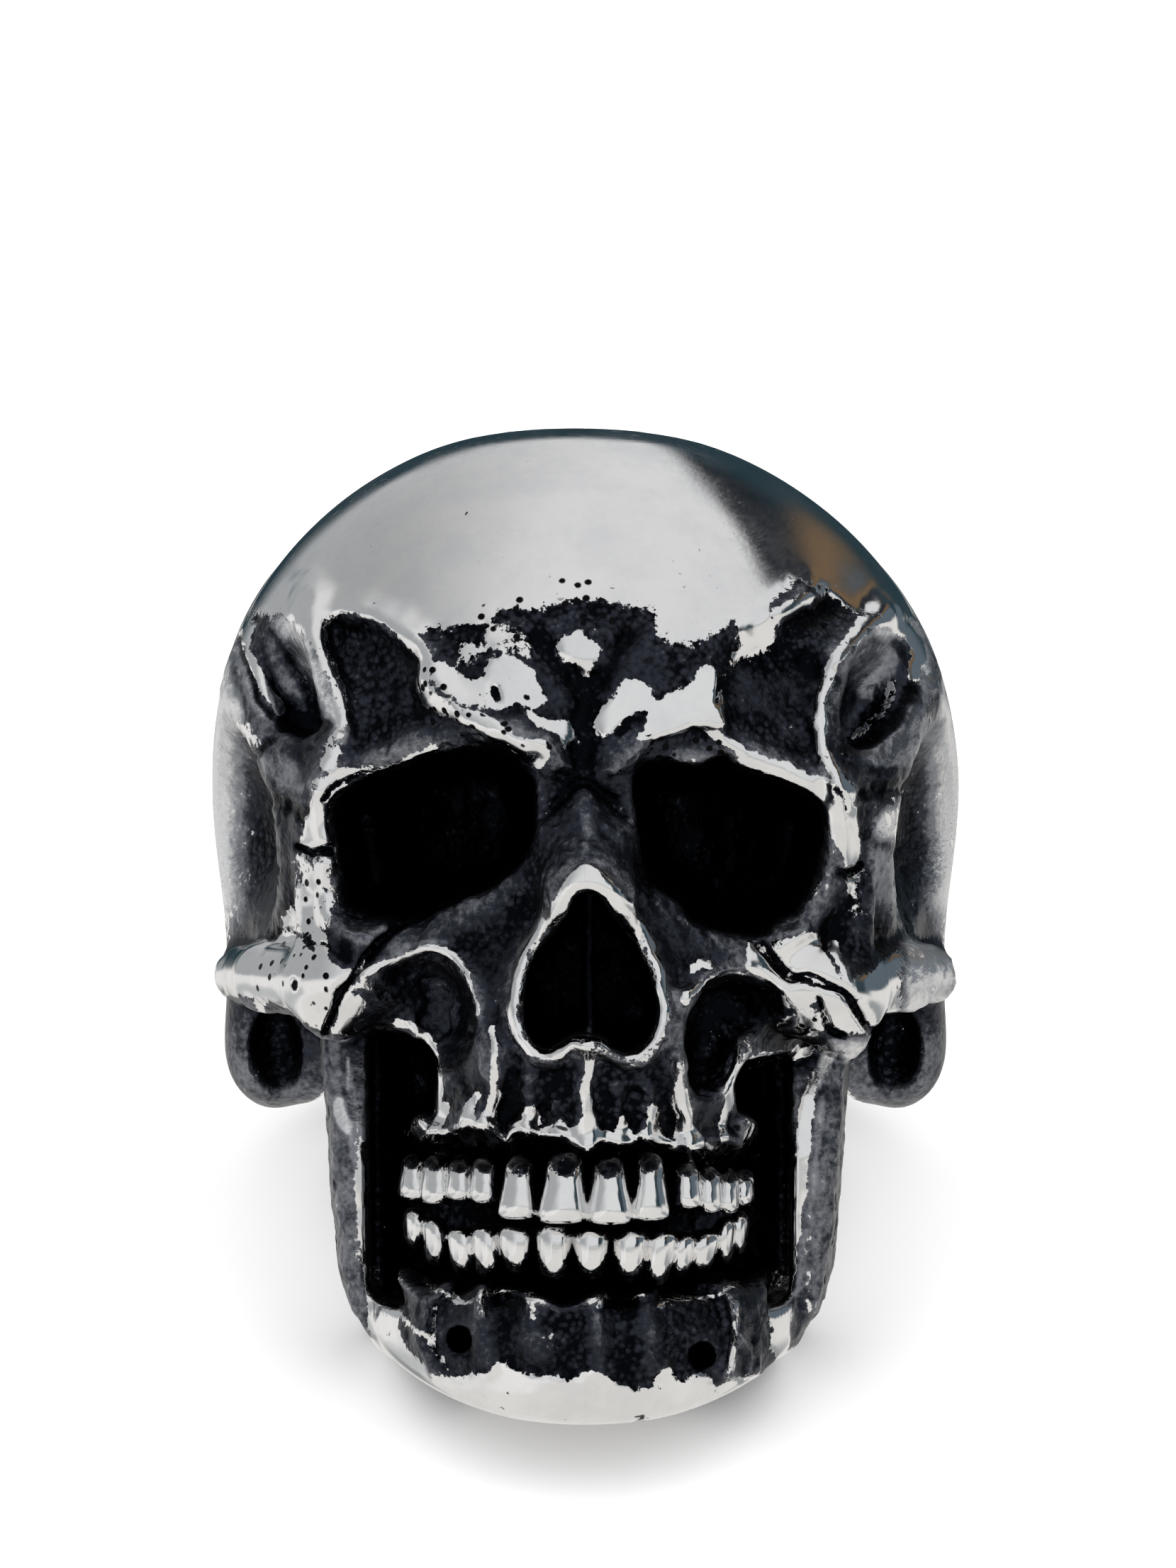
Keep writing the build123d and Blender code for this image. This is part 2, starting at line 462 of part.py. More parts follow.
def mouth_side(x, y, z, outer, drop):
    """The deep gap between the tooth rows and the branch of the jaw."""
    inner = half * profile(z / skull_height, GAP_INNER)
    top = skull_height * (profile(x / half, GAP_TOP) - drop)
    floor = gap_floor * skull_height + 0.25 * (x - 0.415 * half)
    field = soft_meet(inner - x, x - outer, 0.4 * mm)
    field = soft_meet(field, np.maximum(floor - z, z - top), 0.6 * mm)
    return soft_meet(field, floor_radius - 0.3 * mm - np.sqrt(x ** 2 + y ** 2), 0.5 * mm)


def mouth_slot(x, y, z):
    """The shadowed slot that the teeth stand in."""
    share = np.clip(np.abs(x) / (row_half * half), 0, 0.999)
    row = -face_reach * (row_back + row_bow * np.sqrt(1 - share ** 2.2)) + row_depth
    field = soft_meet(y - row, np.abs(z - slot_middle * skull_height) - slot_rise * skull_height, 0.5 * mm)
    return soft_meet(field, np.abs(x) - slot_half * half, 0.4 * mm)


def tooth_lines(x, z, row, upper):
    """Of points and a tooth: the share of its height from the edge to the root, how far off its
    middle line they lie, its half width there, and how far forward its face stands."""
    middle, wide, edge, root_middle, root_wide, root, forward = row
    edge, root = edge * skull_height, root * skull_height
    edge = edge + (jaw_gap - 0.4 * mm) * (0.5 if upper else -0.5)
    share = (z - edge) / (root - edge)
    along = middle * half + share * (root_middle - middle) * half
    narrowing = np.clip(share, 0, 1.2) ** (1.0 if upper else 2.0)
    flank = tooth_over + half * (wide + narrowing * (root_wide - wide))
    turn = math.copysign(min(max(abs(middle) - 0.075, 0) / 0.415, 1), middle) * 0.95
    side = x - along
    face = -forward * face_reach + 0.40 * mm * (side / flank) ** 2 + 0.8 * side * math.tan(turn)
    if upper:
        face = face + mm * (0.30 * share + 1.5 * np.clip(0.20 - share, 0, 1) ** 1.5
                            + 2.2 * np.clip(share - 0.72, 0, 1) ** 1.5)
    else:
        face = face + mm * (0.40 * (share - 0.35) ** 2 + 1.6 * np.clip(share - 0.60, 0, 1) ** 1.5
                            + 0.8 * np.clip(0.12 - share, 0, 1))
    return share, side, flank, face


def tooth(x, y, z, row, upper):
    """A tooth: a rounded wedge between its edge and its root, turned to follow the row."""
    share, side, flank, face = tooth_lines(x, z, row, upper)
    tall = abs(row[5] - row[2]) * skull_height
    field = soft_meet(np.abs(side) - flank, face - y, 0.42 * mm)
    field = soft_meet(field, -share * tall - tooth_over, 0.32 * mm)
    field = soft_meet(field, (share - tooth_root) * tall, 0.4 * mm)
    return soft_meet(field, y + row[6] * face_reach - tooth_depth, 0.3 * mm)


def draw_relief(step):
    """The low relief of the front: rims, ridges, seams and the hollows beside the brows."""
    nose, left, right = (outline_sheet(step, points) for points in (NOSE, LEFT_EYE, RIGHT_EYE))
    relief = front_sheet(step)
    for hollow in (LEFT_BROW_HOLLOW, RIGHT_BROW_HOLLOW):
        edge = 0.60 * mm
        spot, away = relief.near_loop(front(hollow), 2 * edge)
        relief.height[spot] -= brow_depth * ease(edge, -edge, away)
    up = relief.w / skull_height
    broad = mm * (0.40 + 0.25 * ease(0.46, 0.52, up))
    rim = rim_height * np.exp(-((nose.height - 0.55 * broad) / broad) ** 2)
    relief.height += rim * ease(0.335, 0.364, up)
    for eye, side in ((left, -1), (right, 1)):
        out = side * relief.u / half
        rim = (0.18 * mm + 0.40 * mm * ease(0.26, 0.53, out)) * ease(0.04, 0.15, out)
        relief.height += rim * np.exp(-((eye.height - 0.60 * mm) / (0.58 * mm)) ** 2)
    for width, height, points in RELIEF:
        spot, away = relief.near_line(front(points), 2.5 * width * half)
        relief.height[spot] += height * half * np.exp(-(away / (width * half)) ** 2)
    return relief, nose, left, right


class Casting:
    """The whole ring, not yet bored, as one field: below zero in the metal."""

    def __init__(self, step):
        self.relief, self.nose, self.left_eye, self.right_eye = draw_relief(step)

    def within(self, x, y, z, low, high):
        """Which points lie in a box, its corners given as shares."""
        (ax, af, az), (bx, bf, bz) = low, high
        return np.flatnonzero((x > ax * half) & (x < bx * half) & (y < -af * face_reach)
                              & (y > -bf * face_reach) & (z > az * skull_height) & (z < bz * skull_height))

    def apply(self, field, x, y, z, here, join, form, blend):
        """Joins or cuts a form at the points given."""
        if len(here):
            field[here] = join(field[here], form(x[here], y[here], z[here]), blend)

    def near(self, x, y, z, low, high, reach):
        """Which points lie within reach of a box given by two points."""
        return np.flatnonzero((x > low[0] - reach) & (x < high[0] + reach) & (y > low[1] - reach)
                              & (y < high[1] + reach) & (z > low[2] - reach) & (z < high[2] + reach))

    def sides(self, side, x):
        """The x of each side that a row is for, seen as if on the right."""
        signs = {BOTH: (-1, 1), LEFT: (-1,), RIGHT: (1,), MIDDLE: (1,)}[side]
        return [x * sign for sign in signs]

    def masses(self, field, x, y, z):
        """Ellipsoids and round bars."""
        for kind, side, centre, radii, roll, yaw, blend in MASSES:
            c, r = place(*centre), np.array([radii[0] * half, radii[1] * face_reach, radii[2] * skull_height])
            span = np.full(3, r.max()) if roll or yaw else r
            join = soft_join if kind == "join" else soft_cut
            for sx in self.sides(side, x):
                here = self.near(sx, y, z, c - span, c + span, (blend + 0.8) * mm)
                if len(here):
                    form = egg(sx[here], y[here], z[here], c, r, roll, yaw)
                    field[here] = join(field[here], form, blend * mm)
        for side, points, radii, blend in BARS:
            p = np.array([place(*point) for point in points])
            r = np.array(radii) * half
            for sx in self.sides(side, x):
                here = self.near(sx, y, z, p.min(0) - r.max(), p.max(0) + r.max(), (blend + 0.8) * mm)
                if len(here):
                    field[here] = soft_join(field[here], bar(sx[here], y[here], z[here], p, r), blend * mm)

    def jaw(self, field, x, y, z):
        """The closing wall, the lower jaw and the openings of the mouth."""
        here = self.within(x, y, z, (-1.1, 0.0, -0.1), (1.1, 1.1, 0.60))
        self.apply(field, x, y, z, here, soft_join, closing, 0.6 * mm)
        for side, inner, _, _ in JAW_BRANCHES:
            sx = side * x
            here = self.within(sx, y, z, (0.20, 0.0, -0.1), (1.1, 1.1, 0.50))
            branch = lambda a, b, c: ramus(a, b, c, inner * half)
            self.apply(field, sx, y, z, here, soft_join, branch, 0.4 * mm)
        here = self.within(x, y, z, (-1.1, 0.2, -0.1), (1.1, 1.1, 0.26))
        self.apply(field, x, y, z, here, soft_join, jaw_body, 0.4 * mm)
        for side, _, outer, drop in JAW_BRANCHES:
            sx = side * x
            here = self.within(sx, y, z, (0.2, 0.3, 0.08), (0.8, 1.1, 0.45))
            gap = lambda a, b, c: mouth_side(a, b, c, outer * half, drop)
            self.apply(field, sx, y, z, here, soft_cut, gap, 0.35 * mm)
        here = self.within(x, y, z, (-0.7, 0.3, 0.08), (0.7, 1.1, 0.33))
        self.apply(field, x, y, z, here, soft_cut, mouth_slot, 0.3 * mm)

    def face(self, field, x, y, z):
        """Nasal bones, low relief, eyes, nose, the hollows under the eyes and the chin's holes."""
        bones = np.array([place(*point) for point in NASAL_BONES])
        radii = np.array(NASAL_RADII) * half
        here = self.within(x, y, z, (-0.35, 0.6, 0.43), (0.35, 1.1, 0.76))
        self.apply(field, x, y, z, here, soft_join, lambda a, b, c: bar(a, b, c, bones, radii), 0.9 * mm)
        here = self.within(x, y, z, (-1.1, 0.34, -0.1), (1.1, 1.1, 1.1))
        if len(here):
            field[here] -= self.relief.read(x[here], z[here]) * ease(-0.34, -0.56, y[here] / face_reach)
        for eye, side in ((self.left_eye, -1), (self.right_eye, 1)):
            here = self.within(side * x, y, z, (0.03, 0.2, 0.43), (0.85, 1.1, 0.72))
            if len(here):
                a, b, c = x[here], y[here], z[here]
                taper = np.clip((b + 0.797 * face_reach) / (0.259 * face_reach), 0, 1.2)
                cut = soft_meet(eye.read(a, c) + 0.5 * mm * taper,
                                floor_radius - np.sqrt(a ** 2 + b ** 2), 1.2 * mm)
                field[here] = soft_cut(field[here], cut, 0.35 * mm)
        here = self.within(x, y, z, (-0.27, 0.2, 0.33), (0.27, 1.1, 0.58))
        if len(here):
            a, b, c = x[here], y[here], z[here]
            cut = soft_meet(self.nose.read(a, c), floor_radius - np.sqrt(a ** 2 + b ** 2), 1.0 * mm)
            septum = soft_meet(np.abs(a - 0.009 * half) - 0.16 * mm, -0.845 * face_reach - b, 0.2 * mm)
            inside = soft_cut(field[here], cut, 0.22 * mm)
            field[here] = soft_join(inside, soft_meet(septum, cut - 0.3 * mm, 0.2 * mm), 0.15 * mm)
        for side, centre, radii, roll, yaw in CHEEK_HOLLOWS:
            c, r = place(*centre), np.array([radii[0] * half, radii[1] * face_reach, radii[2] * skull_height])
            sx = side * x
            here = self.near(sx, y, z, c - r.max(), c + r.max(), 1.2 * mm)
            hollow = lambda a, b, d: egg(a, b, d, c, r, roll, yaw)
            self.apply(field, sx, y, z, here, soft_cut, hollow, 0.35 * mm)

    def teeth(self, field, x, y, z):
        """Both rows of teeth, and the two holes in the chin."""
        for rows, upper in ((UPPER_TEETH, True), (LOWER_TEETH, False)):
            for row in rows:
                low = place(min(row[0], row[3]) - 0.11, row[6] + 0.035, min(row[2], row[5]) - 0.05)
                high = place(max(row[0], row[3]) + 0.11, row[6] - 0.2, max(row[2], row[5]) + 0.05)
                here = self.near(x, y, z, low, high, 0)
                shape = lambda a, b, c: tooth(a, b, c, row, upper)
                self.apply(field, x, y, z, here, soft_join, shape, 0.12 * mm)
        for across, up in MENTAL_HOLES:
            line = np.array([place(across, mental_near[0], up), place(0.9 * across, mental_far[0], up)])
            radii = np.array([mental_near[1], mental_far[1]]) * half
            here = self.within(x, y, z, (-0.6, 0.6, 0.0), (0.6, 1.1, 0.15))
            self.apply(field, x, y, z, here, soft_cut,
                       lambda a, b, c: bar(a, b, c, line, radii), 0.2 * mm)

    def value(self, x, y, z):
        """The field at flat arrays of points, before the bore is cut."""
        field = soft_meet(cranium(x, y, z), z - roof(y), 1.6 * mm)
        field = soft_join(field, shank(x, y, z), 1.2 * mm)
        self.masses(field, x, y, z)
        self.jaw(field, x, y, z)
        self.face(field, x, y, z)
        self.teeth(field, x, y, z)
        return field


def split_cells():
    """Which of a cell's 256 patterns of metal and air fall into more than one lump of either."""
    corner = [(i, j, k) for i in (0, 1) for j in (0, 1) for k in (0, 1)]
    edges = [(a, b) for a in range(8) for b in range(a)
             if sum(abs(p - q) for p, q in zip(corner[a], corner[b])) == 1]

    def lumps(group):
        group, count = set(group), 0
        while group:
            count += 1
            stack = [group.pop()]
            while stack:
                here = stack.pop()
                for a, b in edges:
                    for other in ((b,) if a == here else (a,) if b == here else ()):
                        if other in group:
                            group.remove(other)
                            stack.append(other)
        return count

    bad = np.zeros(256, bool)
    for pattern in range(256):
        metal = [n for n in range(8) if pattern >> n & 1]
        air = [n for n in range(8) if not pattern >> n & 1]
        bad[pattern] = lumps(metal) > 1 or lumps(air) > 1
    return bad


def corner_views(grid):
    """The grid seen from each of a cell's eight corners."""
    nx, ny, nz = grid.shape
    return [grid[i:nx - 1 + i, j:ny - 1 + j, k:nz - 1 + k] for i in (0, 1) for j in (0, 1) for k in (0, 1)]


def mend_cells(field, least):
    """Fills the nodes that would make the mesh touch itself along an edge or at a point."""
    bad = split_cells()
    for _ in range(30):
        pattern = sum(((view < 0).astype(np.uint8) << n for n, view in enumerate(corner_views(field))))
        cells = np.argwhere(bad[pattern])
        if not len(cells):
            return
        offsets = np.array([(i, j, k) for i in (0, 1) for j in (0, 1) for k in (0, 1)])
        nodes = cells[:, None] + offsets[None]
        values = field[nodes[..., 0], nodes[..., 1], nodes[..., 2]]
        pick = np.argmin(np.where(values >= 0, values, np.inf), axis=1)
        chosen = nodes[np.arange(len(cells)), pick]
        field[chosen[:, 0], chosen[:, 1], chosen[:, 2]] = -least


def net(field, axes):
    """Surface of a sampled field: one point in each cell that the surface crosses, the mean of its
    crossings of the cell's edges, and one four-sided face round each crossed edge."""
    metal = field < 0
    count = sum(view.astype(np.int8) for view in corner_views(metal))
    crossed = (count > 0) & (count < 8)
    cells = np.argwhere(crossed)
    number = np.full(crossed.shape, -1)
    number[crossed] = np.arange(len(cells))
    total, hits = np.zeros((len(cells), 3)), np.zeros(len(cells))
    for i, j, k in [(i, j, k) for i in (0, 1) for j in (0, 1) for k in (0, 1)]:
        for axis in range(3):
            if (i, j, k)[axis]:
                continue
            a = cells + (i, j, k)
            b = a + np.eye(3, dtype=int)[axis]
            fa, fb = field[a[:, 0], a[:, 1], a[:, 2]], field[b[:, 0], b[:, 1], b[:, 2]]
            cross = (fa < 0) != (fb < 0)
            t = np.clip(fa[cross] / (fa[cross] - fb[cross]), 0.04, 0.96)
            for n in range(3):
                start, end = axes[n][a[cross, n]], axes[n][b[cross, n]]
                total[cross, n] += start + (end - start) * t
            hits[cross] += 1
    points = total / hits[:, None]
    faces = []
    for axis in range(3):
        one, two = (axis + 1) % 3, (axis + 2) % 3
        lower, upper = [slice(None)] * 3, [slice(None)] * 3
        lower[axis], upper[axis] = slice(0, -1), slice(1, None)
        edges = np.argwhere(metal[tuple(lower)] != metal[tuple(upper)])
        ring = []
        for d1, d2 in ((0, 0), (1, 0), (1, 1), (0, 1)):
            cell_at = edges.copy()
            cell_at[:, one] -= d1
            cell_at[:, two] -= d2
            ring.append(number[cell_at[:, 0], cell_at[:, 1], cell_at[:, 2]])
        ring = np.stack(ring, 1)
        inward = metal[edges[:, 0], edges[:, 1], edges[:, 2]]
        faces.append(np.where(inward[:, None], ring, ring[:, ::-1]))
    return points, np.vstack(faces)


def steps(table):
    """Grid lines from a table of (start, end, step), each stretch divided evenly."""
    lines = []
    for start, end, step in table:
        count = max(int(round((end - start) / step)), 1)
        lines += list(np.linspace(start, end, count, endpoint=False))
    return np.array(lines + [table[-1][1]])


def ring_mesh():
    """The skull's surface on a grid that is finest across the teeth and coarse at the band."""
    wide, tall, deep = half / 13.25, skull_height / 34.6, face_reach / 23.2
    limit = half + 0.6 * mm
    teeth_half = 0.49 * half
    across = steps([(-limit, -teeth_half, 2.1 * cell * wide), (-teeth_half, teeth_half, cell * wide),
                    (teeth_half, limit, 2.1 * cell * wide)])
    deep_lines = steps([(-face_reach - 0.8 * mm, -0.60 * face_reach, 2.2 * cell * deep),
                        (-0.60 * face_reach, -0.2 * face_reach, 3.8 * cell * deep),
                        (-0.2 * face_reach, band_outer + 0.8 * mm, 6.2 * cell)])
    up = steps([(-0.5 * mm, 0.13 * skull_height, 2.4 * cell * tall),
                (0.13 * skull_height, 0.30 * skull_height, 1.6 * cell * tall),
                (0.30 * skull_height, 0.70 * skull_height, 2.3 * cell * tall),
                (0.70 * skull_height, skull_height + 1.2 * mm, 3.8 * cell * tall)])
    axes = (across, deep_lines, up)
    x, y, z = (grid.ravel() for grid in np.meshgrid(*axes, indexing="ij"))
    field = Casting(0.1 * mm).value(x, y, z)
    field = field.reshape([len(axis) for axis in axes])
    mend_cells(field, 0.05 * mm)
    points, faces = net(field, axes)
    return largest_piece(points, faces)


def largest_piece(points, faces):
    """Only the faces of the surface's largest connected piece."""
    label = np.arange(len(points))
    while True:
        low = label[faces].min(1)
        new = label.copy()
        for n in range(4):
            np.minimum.at(new, faces[:, n], low)
        new = new[new]
        if (new == label).all():
            break
        label = new
    main = np.bincount(label[faces[:, 0]]).argmax()
    return points, faces[label[faces[:, 0]] == main]


def triangles(points, faces):
    """Each four-sided face as two triangles, split along its shorter diagonal."""
    a, b, c, d = (faces[:, n] for n in range(4))
    first = np.linalg.norm(points[a] - points[c], axis=1) <= np.linalg.norm(points[b] - points[d], axis=1)
    one = np.where(first[:, None], np.stack([a, b, c], 1), np.stack([a, b, d], 1))
    two = np.where(first[:, None], np.stack([a, c, d], 1), np.stack([b, c, d], 1))
    return np.vstack([one, two])


def sewn(points, corners):
    """A solid from triangles, sewn in small groups first and then group to group."""
    vectors = [Vector(*map(float, point)) for point in points]
    sides = [Face(Wire.make_polygon([vectors[i] for i in corner], close=True)) for corner in corners]
    block = np.floor(points[corners].mean(1) / (0.3 * half)).astype(int)
    _, group = np.unique(block, axis=0, return_inverse=True)
    group = group.ravel()
    sheets = []
    for number in range(group.max() + 1):
        members = [sides[n] for n in np.flatnonzero(group == number)]
        if len(members) == 1:
            sheets += members
        else:
            for sheet in Face.sew_faces(members):
                sheets += list(sheet)
    return Solid(Shell(sheets))


def resting_tilt(points):
    """The angle at which the back of the band and the jaw's corners touch the table together."""
    low, high = 0.0, math.radians(60)
    for _ in range(60):
        lean = (low + high) / 2
        height = points[:, 2] * math.cos(lean) - points[:, 1] * math.sin(lean)
        if height[points[:, 1] < 0].min() > height[points[:, 1] > 0].min():
            high = lean
        else:
            low = lean
    return math.degrees(lean)


points, faces = ring_mesh()
corners = triangles(points, faces)
casting = sewn(points, corners)
if casting.volume < 0:
    casting = Solid(Shell([-face for face in casting.faces()]))
bore = Solid.make_cylinder(bore_radius, 3 * skull_height, Plane((0, 0, -skull_height)))
ring = casting - bore
ring = ring.solids().sort_by(SortBy.VOLUME)[-1]

kept = np.array([(v.X, v.Y, v.Z) for v in ring.vertices()])
tilt = resting_tilt(kept)
ring = ring.rotate(Axis.X, -tilt)
box = ring.bounding_box()
ring = ring.translate(Vector(-box.center().X, -box.center().Y, -box.min.Z))

os.makedirs("parts", exist_ok=True)
export_step(ring, "parts/skull_ring.step")
size = ring.bounding_box().size
print(f"skull_ring: {len(corners)} triangles, tilt {tilt:.2f} degrees, volume {ring.volume:.0f} mm3, "
      f"box {size.X:.2f} x {size.Y:.2f} x {size.Z:.2f} mm, valid {ring.is_valid}")
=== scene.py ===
import json
import math

import bpy
import numpy as np
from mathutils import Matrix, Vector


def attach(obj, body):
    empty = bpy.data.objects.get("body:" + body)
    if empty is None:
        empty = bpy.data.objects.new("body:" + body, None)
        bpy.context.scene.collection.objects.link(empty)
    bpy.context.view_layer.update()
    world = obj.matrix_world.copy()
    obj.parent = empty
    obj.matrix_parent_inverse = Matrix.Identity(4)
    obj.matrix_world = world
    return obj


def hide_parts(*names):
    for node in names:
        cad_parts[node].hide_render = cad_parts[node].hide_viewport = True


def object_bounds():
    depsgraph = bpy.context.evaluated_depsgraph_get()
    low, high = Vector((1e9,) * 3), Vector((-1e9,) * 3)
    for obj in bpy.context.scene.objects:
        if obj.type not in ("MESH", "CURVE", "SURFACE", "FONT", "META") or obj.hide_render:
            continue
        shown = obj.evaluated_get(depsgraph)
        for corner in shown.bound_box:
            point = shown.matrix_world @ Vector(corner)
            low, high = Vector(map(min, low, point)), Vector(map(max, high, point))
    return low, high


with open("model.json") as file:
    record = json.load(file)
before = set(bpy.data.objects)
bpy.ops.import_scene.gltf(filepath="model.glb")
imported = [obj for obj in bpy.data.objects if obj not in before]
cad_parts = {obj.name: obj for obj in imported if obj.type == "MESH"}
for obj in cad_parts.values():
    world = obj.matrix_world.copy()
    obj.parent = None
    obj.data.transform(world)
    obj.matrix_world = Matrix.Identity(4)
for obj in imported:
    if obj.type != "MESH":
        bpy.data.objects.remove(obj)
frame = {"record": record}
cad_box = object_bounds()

# A skull ring in dark, worn silver, cast in one piece. Its surface is worked out over the skull's
# own frame: x to the right of the face, y from the face to the back of the finger, z up from the
# chin, the finger's bore on the z axis. At the end it is leaned back as the ring rests on a table.

# Sizes, in metres
mm = 0.001
bore = frame["record"]["mounts"][0]
finger_bore = 2 * bore["dims"]["r_mm"] * mm     # across the hole for the finger
band_wall = 2.5 * mm      # metal between the finger and the outside at the back
band_width = 9.0 * mm     # height of the band at the back
band_rise = 11.7 * mm     # from the chin up to the band's lower edge at the back
skull_width = 26.5 * mm   # over the temples
skull_height = 34.6 * mm  # from the chin to the crown
face_reach = 23.2 * mm    # from the bore's axis to the upper front teeth
closing_wall = 1.7 * mm   # metal left between the bore and the eyes, nose and mouth
tooth_depth = 3.2 * mm    # from a tooth's face to its back
jaw_gap = 0.4 * mm        # between the upper and the lower teeth
brow_depth = 0.62 * mm    # how far the hollows beside the brows lie back
rim_height = 0.62 * mm    # how far the rim of the nose stands out
lean = math.atan2(bore["axis"][1], bore["axis"][2])     # how far the resting ring leans back

bore_radius = finger_bore / 2
band_outer = bore_radius + band_wall
half = max(skull_width / 2, band_outer)
floor_radius = bore_radius + closing_wall

# Places are shares of the named sizes: across of the skull's half width, forward of the
# face's reach, up of the skull's height. A row for both sides is written for the right.
BOTH, LEFT, RIGHT, MIDDLE = "both", "left", "right", "middle"

# Rounded masses: joined or cut, side, centre (across, forward, up), radii (the same three),
# roll in the face's plane and yaw in plan in degrees, blend in millimetres.
MASSES = [
    ("join", MIDDLE, (0.000, 0.517, 0.592), (0.785, 0.353, 0.202), 0, 0, 1.5),      # upper face
    ("join", MIDDLE, (0.000, 0.569, 0.390), (0.528, 0.371, 0.208), 0, 0, 1.5),      # upper jaw
    ("join", LEFT, (0.604, 0.720, 0.439), (0.174, 0.095, 0.051), -14, 30, 1.0),     # cheek bone
    ("join", RIGHT, (0.604, 0.720, 0.426), (0.174, 0.095, 0.051), -14, 30, 1.0),    # cheek bone
    ("cut", BOTH, (1.004, 0.474, 0.578), (0.242, 0.224, 0.113), 0, 0, 1.5),         # temple
    ("cut", LEFT, (0.780, 0.665, 0.738), (0.086, 0.084, 0.075), -32, 0, 0.9),       # oval hollow
    ("cut", RIGHT, (0.752, 0.675, 0.728), (0.084, 0.084, 0.075), -32, 0, 0.9),      # oval hollow
    ("cut", BOTH, (0.860, 0.474, 0.355), (0.196, 0.198, 0.055), 0, 0, 0.4),         # under the arch
    ("join", BOTH, (0.845, 0.138, 0.364), (0.113, 0.103, 0.066), 0, 0, 0.6),        # lobe
    ("cut", BOTH, (0.830, 0.233, 0.358), (0.068, 0.043, 0.046), 0, 0, 0.4),         # its dish
]

# Round bars: side, points (across, forward, up), radius at each as a share of the half width.
BARS = [
    (LEFT, [(0.657, 0.707, 0.431), (0.660, 0.716, 0.402)], [0.091, 0.060], 0.8),
    (RIGHT, [(0.657, 0.707, 0.418), (0.668, 0.716, 0.379)], [0.091, 0.060], 0.8),
    (BOTH, [(0.694, 0.690, 0.434), (0.830, 0.560, 0.437), (0.906, 0.409, 0.437), (0.913, 0.216, 0.437)],
     [0.094, 0.087, 0.072, 0.072], 0.6),
    (BOTH, [(0.513, 0.759, 0.662), (0.634, 0.728, 0.642), (0.691, 0.703, 0.601), (0.702, 0.698, 0.561),
            (0.702, 0.703, 0.520), (0.679, 0.716, 0.468)], [0.042, 0.060, 0.051, 0.045, 0.047, 0.068], 0.5),
]
NASAL_BONES = [(0.000, 0.793, 0.653), (0.004, 0.845, 0.595), (0.006, 0.901, 0.538)]
NASAL_RADII = [0.083, 0.094, 0.113]

# Outlines drawn on the front view (across, up)
LEFT_EYE = [(-0.657, 0.607), (-0.581, 0.636), (-0.460, 0.653), (-0.385, 0.663), (-0.215, 0.663),
            (-0.147, 0.642), (-0.128, 0.616), (-0.136, 0.569), (-0.215, 0.535), (-0.325, 0.514),
            (-0.423, 0.497), (-0.513, 0.497), (-0.589, 0.503), (-0.626, 0.517), (-0.645, 0.561)]
RIGHT_EYE = [(0.125, 0.617), (0.134, 0.645), (0.198, 0.653), (0.291, 0.650), (0.347, 0.659),
             (0.389, 0.650), (0.503, 0.636), (0.595, 0.617), (0.618, 0.592), (0.612, 0.560),
             (0.588, 0.530), (0.548, 0.507), (0.490, 0.493), (0.430, 0.481), (0.291, 0.493),
             (0.234, 0.514), (0.171, 0.533), (0.142, 0.555)]
NOSE = [(0.007, 0.527), (0.040, 0.520), (0.072, 0.503), (0.116, 0.482), (0.148, 0.464), (0.170, 0.439),
        (0.186, 0.414), (0.175, 0.389), (0.143, 0.372), (0.105, 0.368), (0.061, 0.375), (0.045, 0.381),
        (0.013, 0.384), (-0.025, 0.384), (-0.069, 0.375), (-0.112, 0.370), (-0.145, 0.385),
        (-0.161, 0.408), (-0.155, 0.435), (-0.139, 0.458), (-0.101, 0.476), (-0.063, 0.493),
        (-0.036, 0.514), (-0.020, 0.524)]
LEFT_BROW_HOLLOW = [(-0.595, 0.795), (-0.513, 0.785), (-0.427, 0.760), (-0.402, 0.725), (-0.312, 0.697),
                    (-0.195, 0.673), (-0.100, 0.654), (-0.047, 0.627), (-0.121, 0.600), (-0.382, 0.653),
                    (-0.550, 0.632), (-0.678, 0.635), (-0.619, 0.677), (-0.614, 0.703), (-0.665, 0.754),
                    (-0.672, 0.782)]
RIGHT_BROW_HOLLOW = [(0.340, 0.737), (0.332, 0.712), (0.354, 0.689), (0.278, 0.691), (0.181, 0.677),
                     (0.084, 0.641), (0.044, 0.614), (0.135, 0.600), (0.373, 0.642), (0.537, 0.635),
                     (0.619, 0.628), (0.597, 0.677), (0.606, 0.716), (0.632, 0.747), (0.537, 0.772),
                     (0.409, 0.772)]

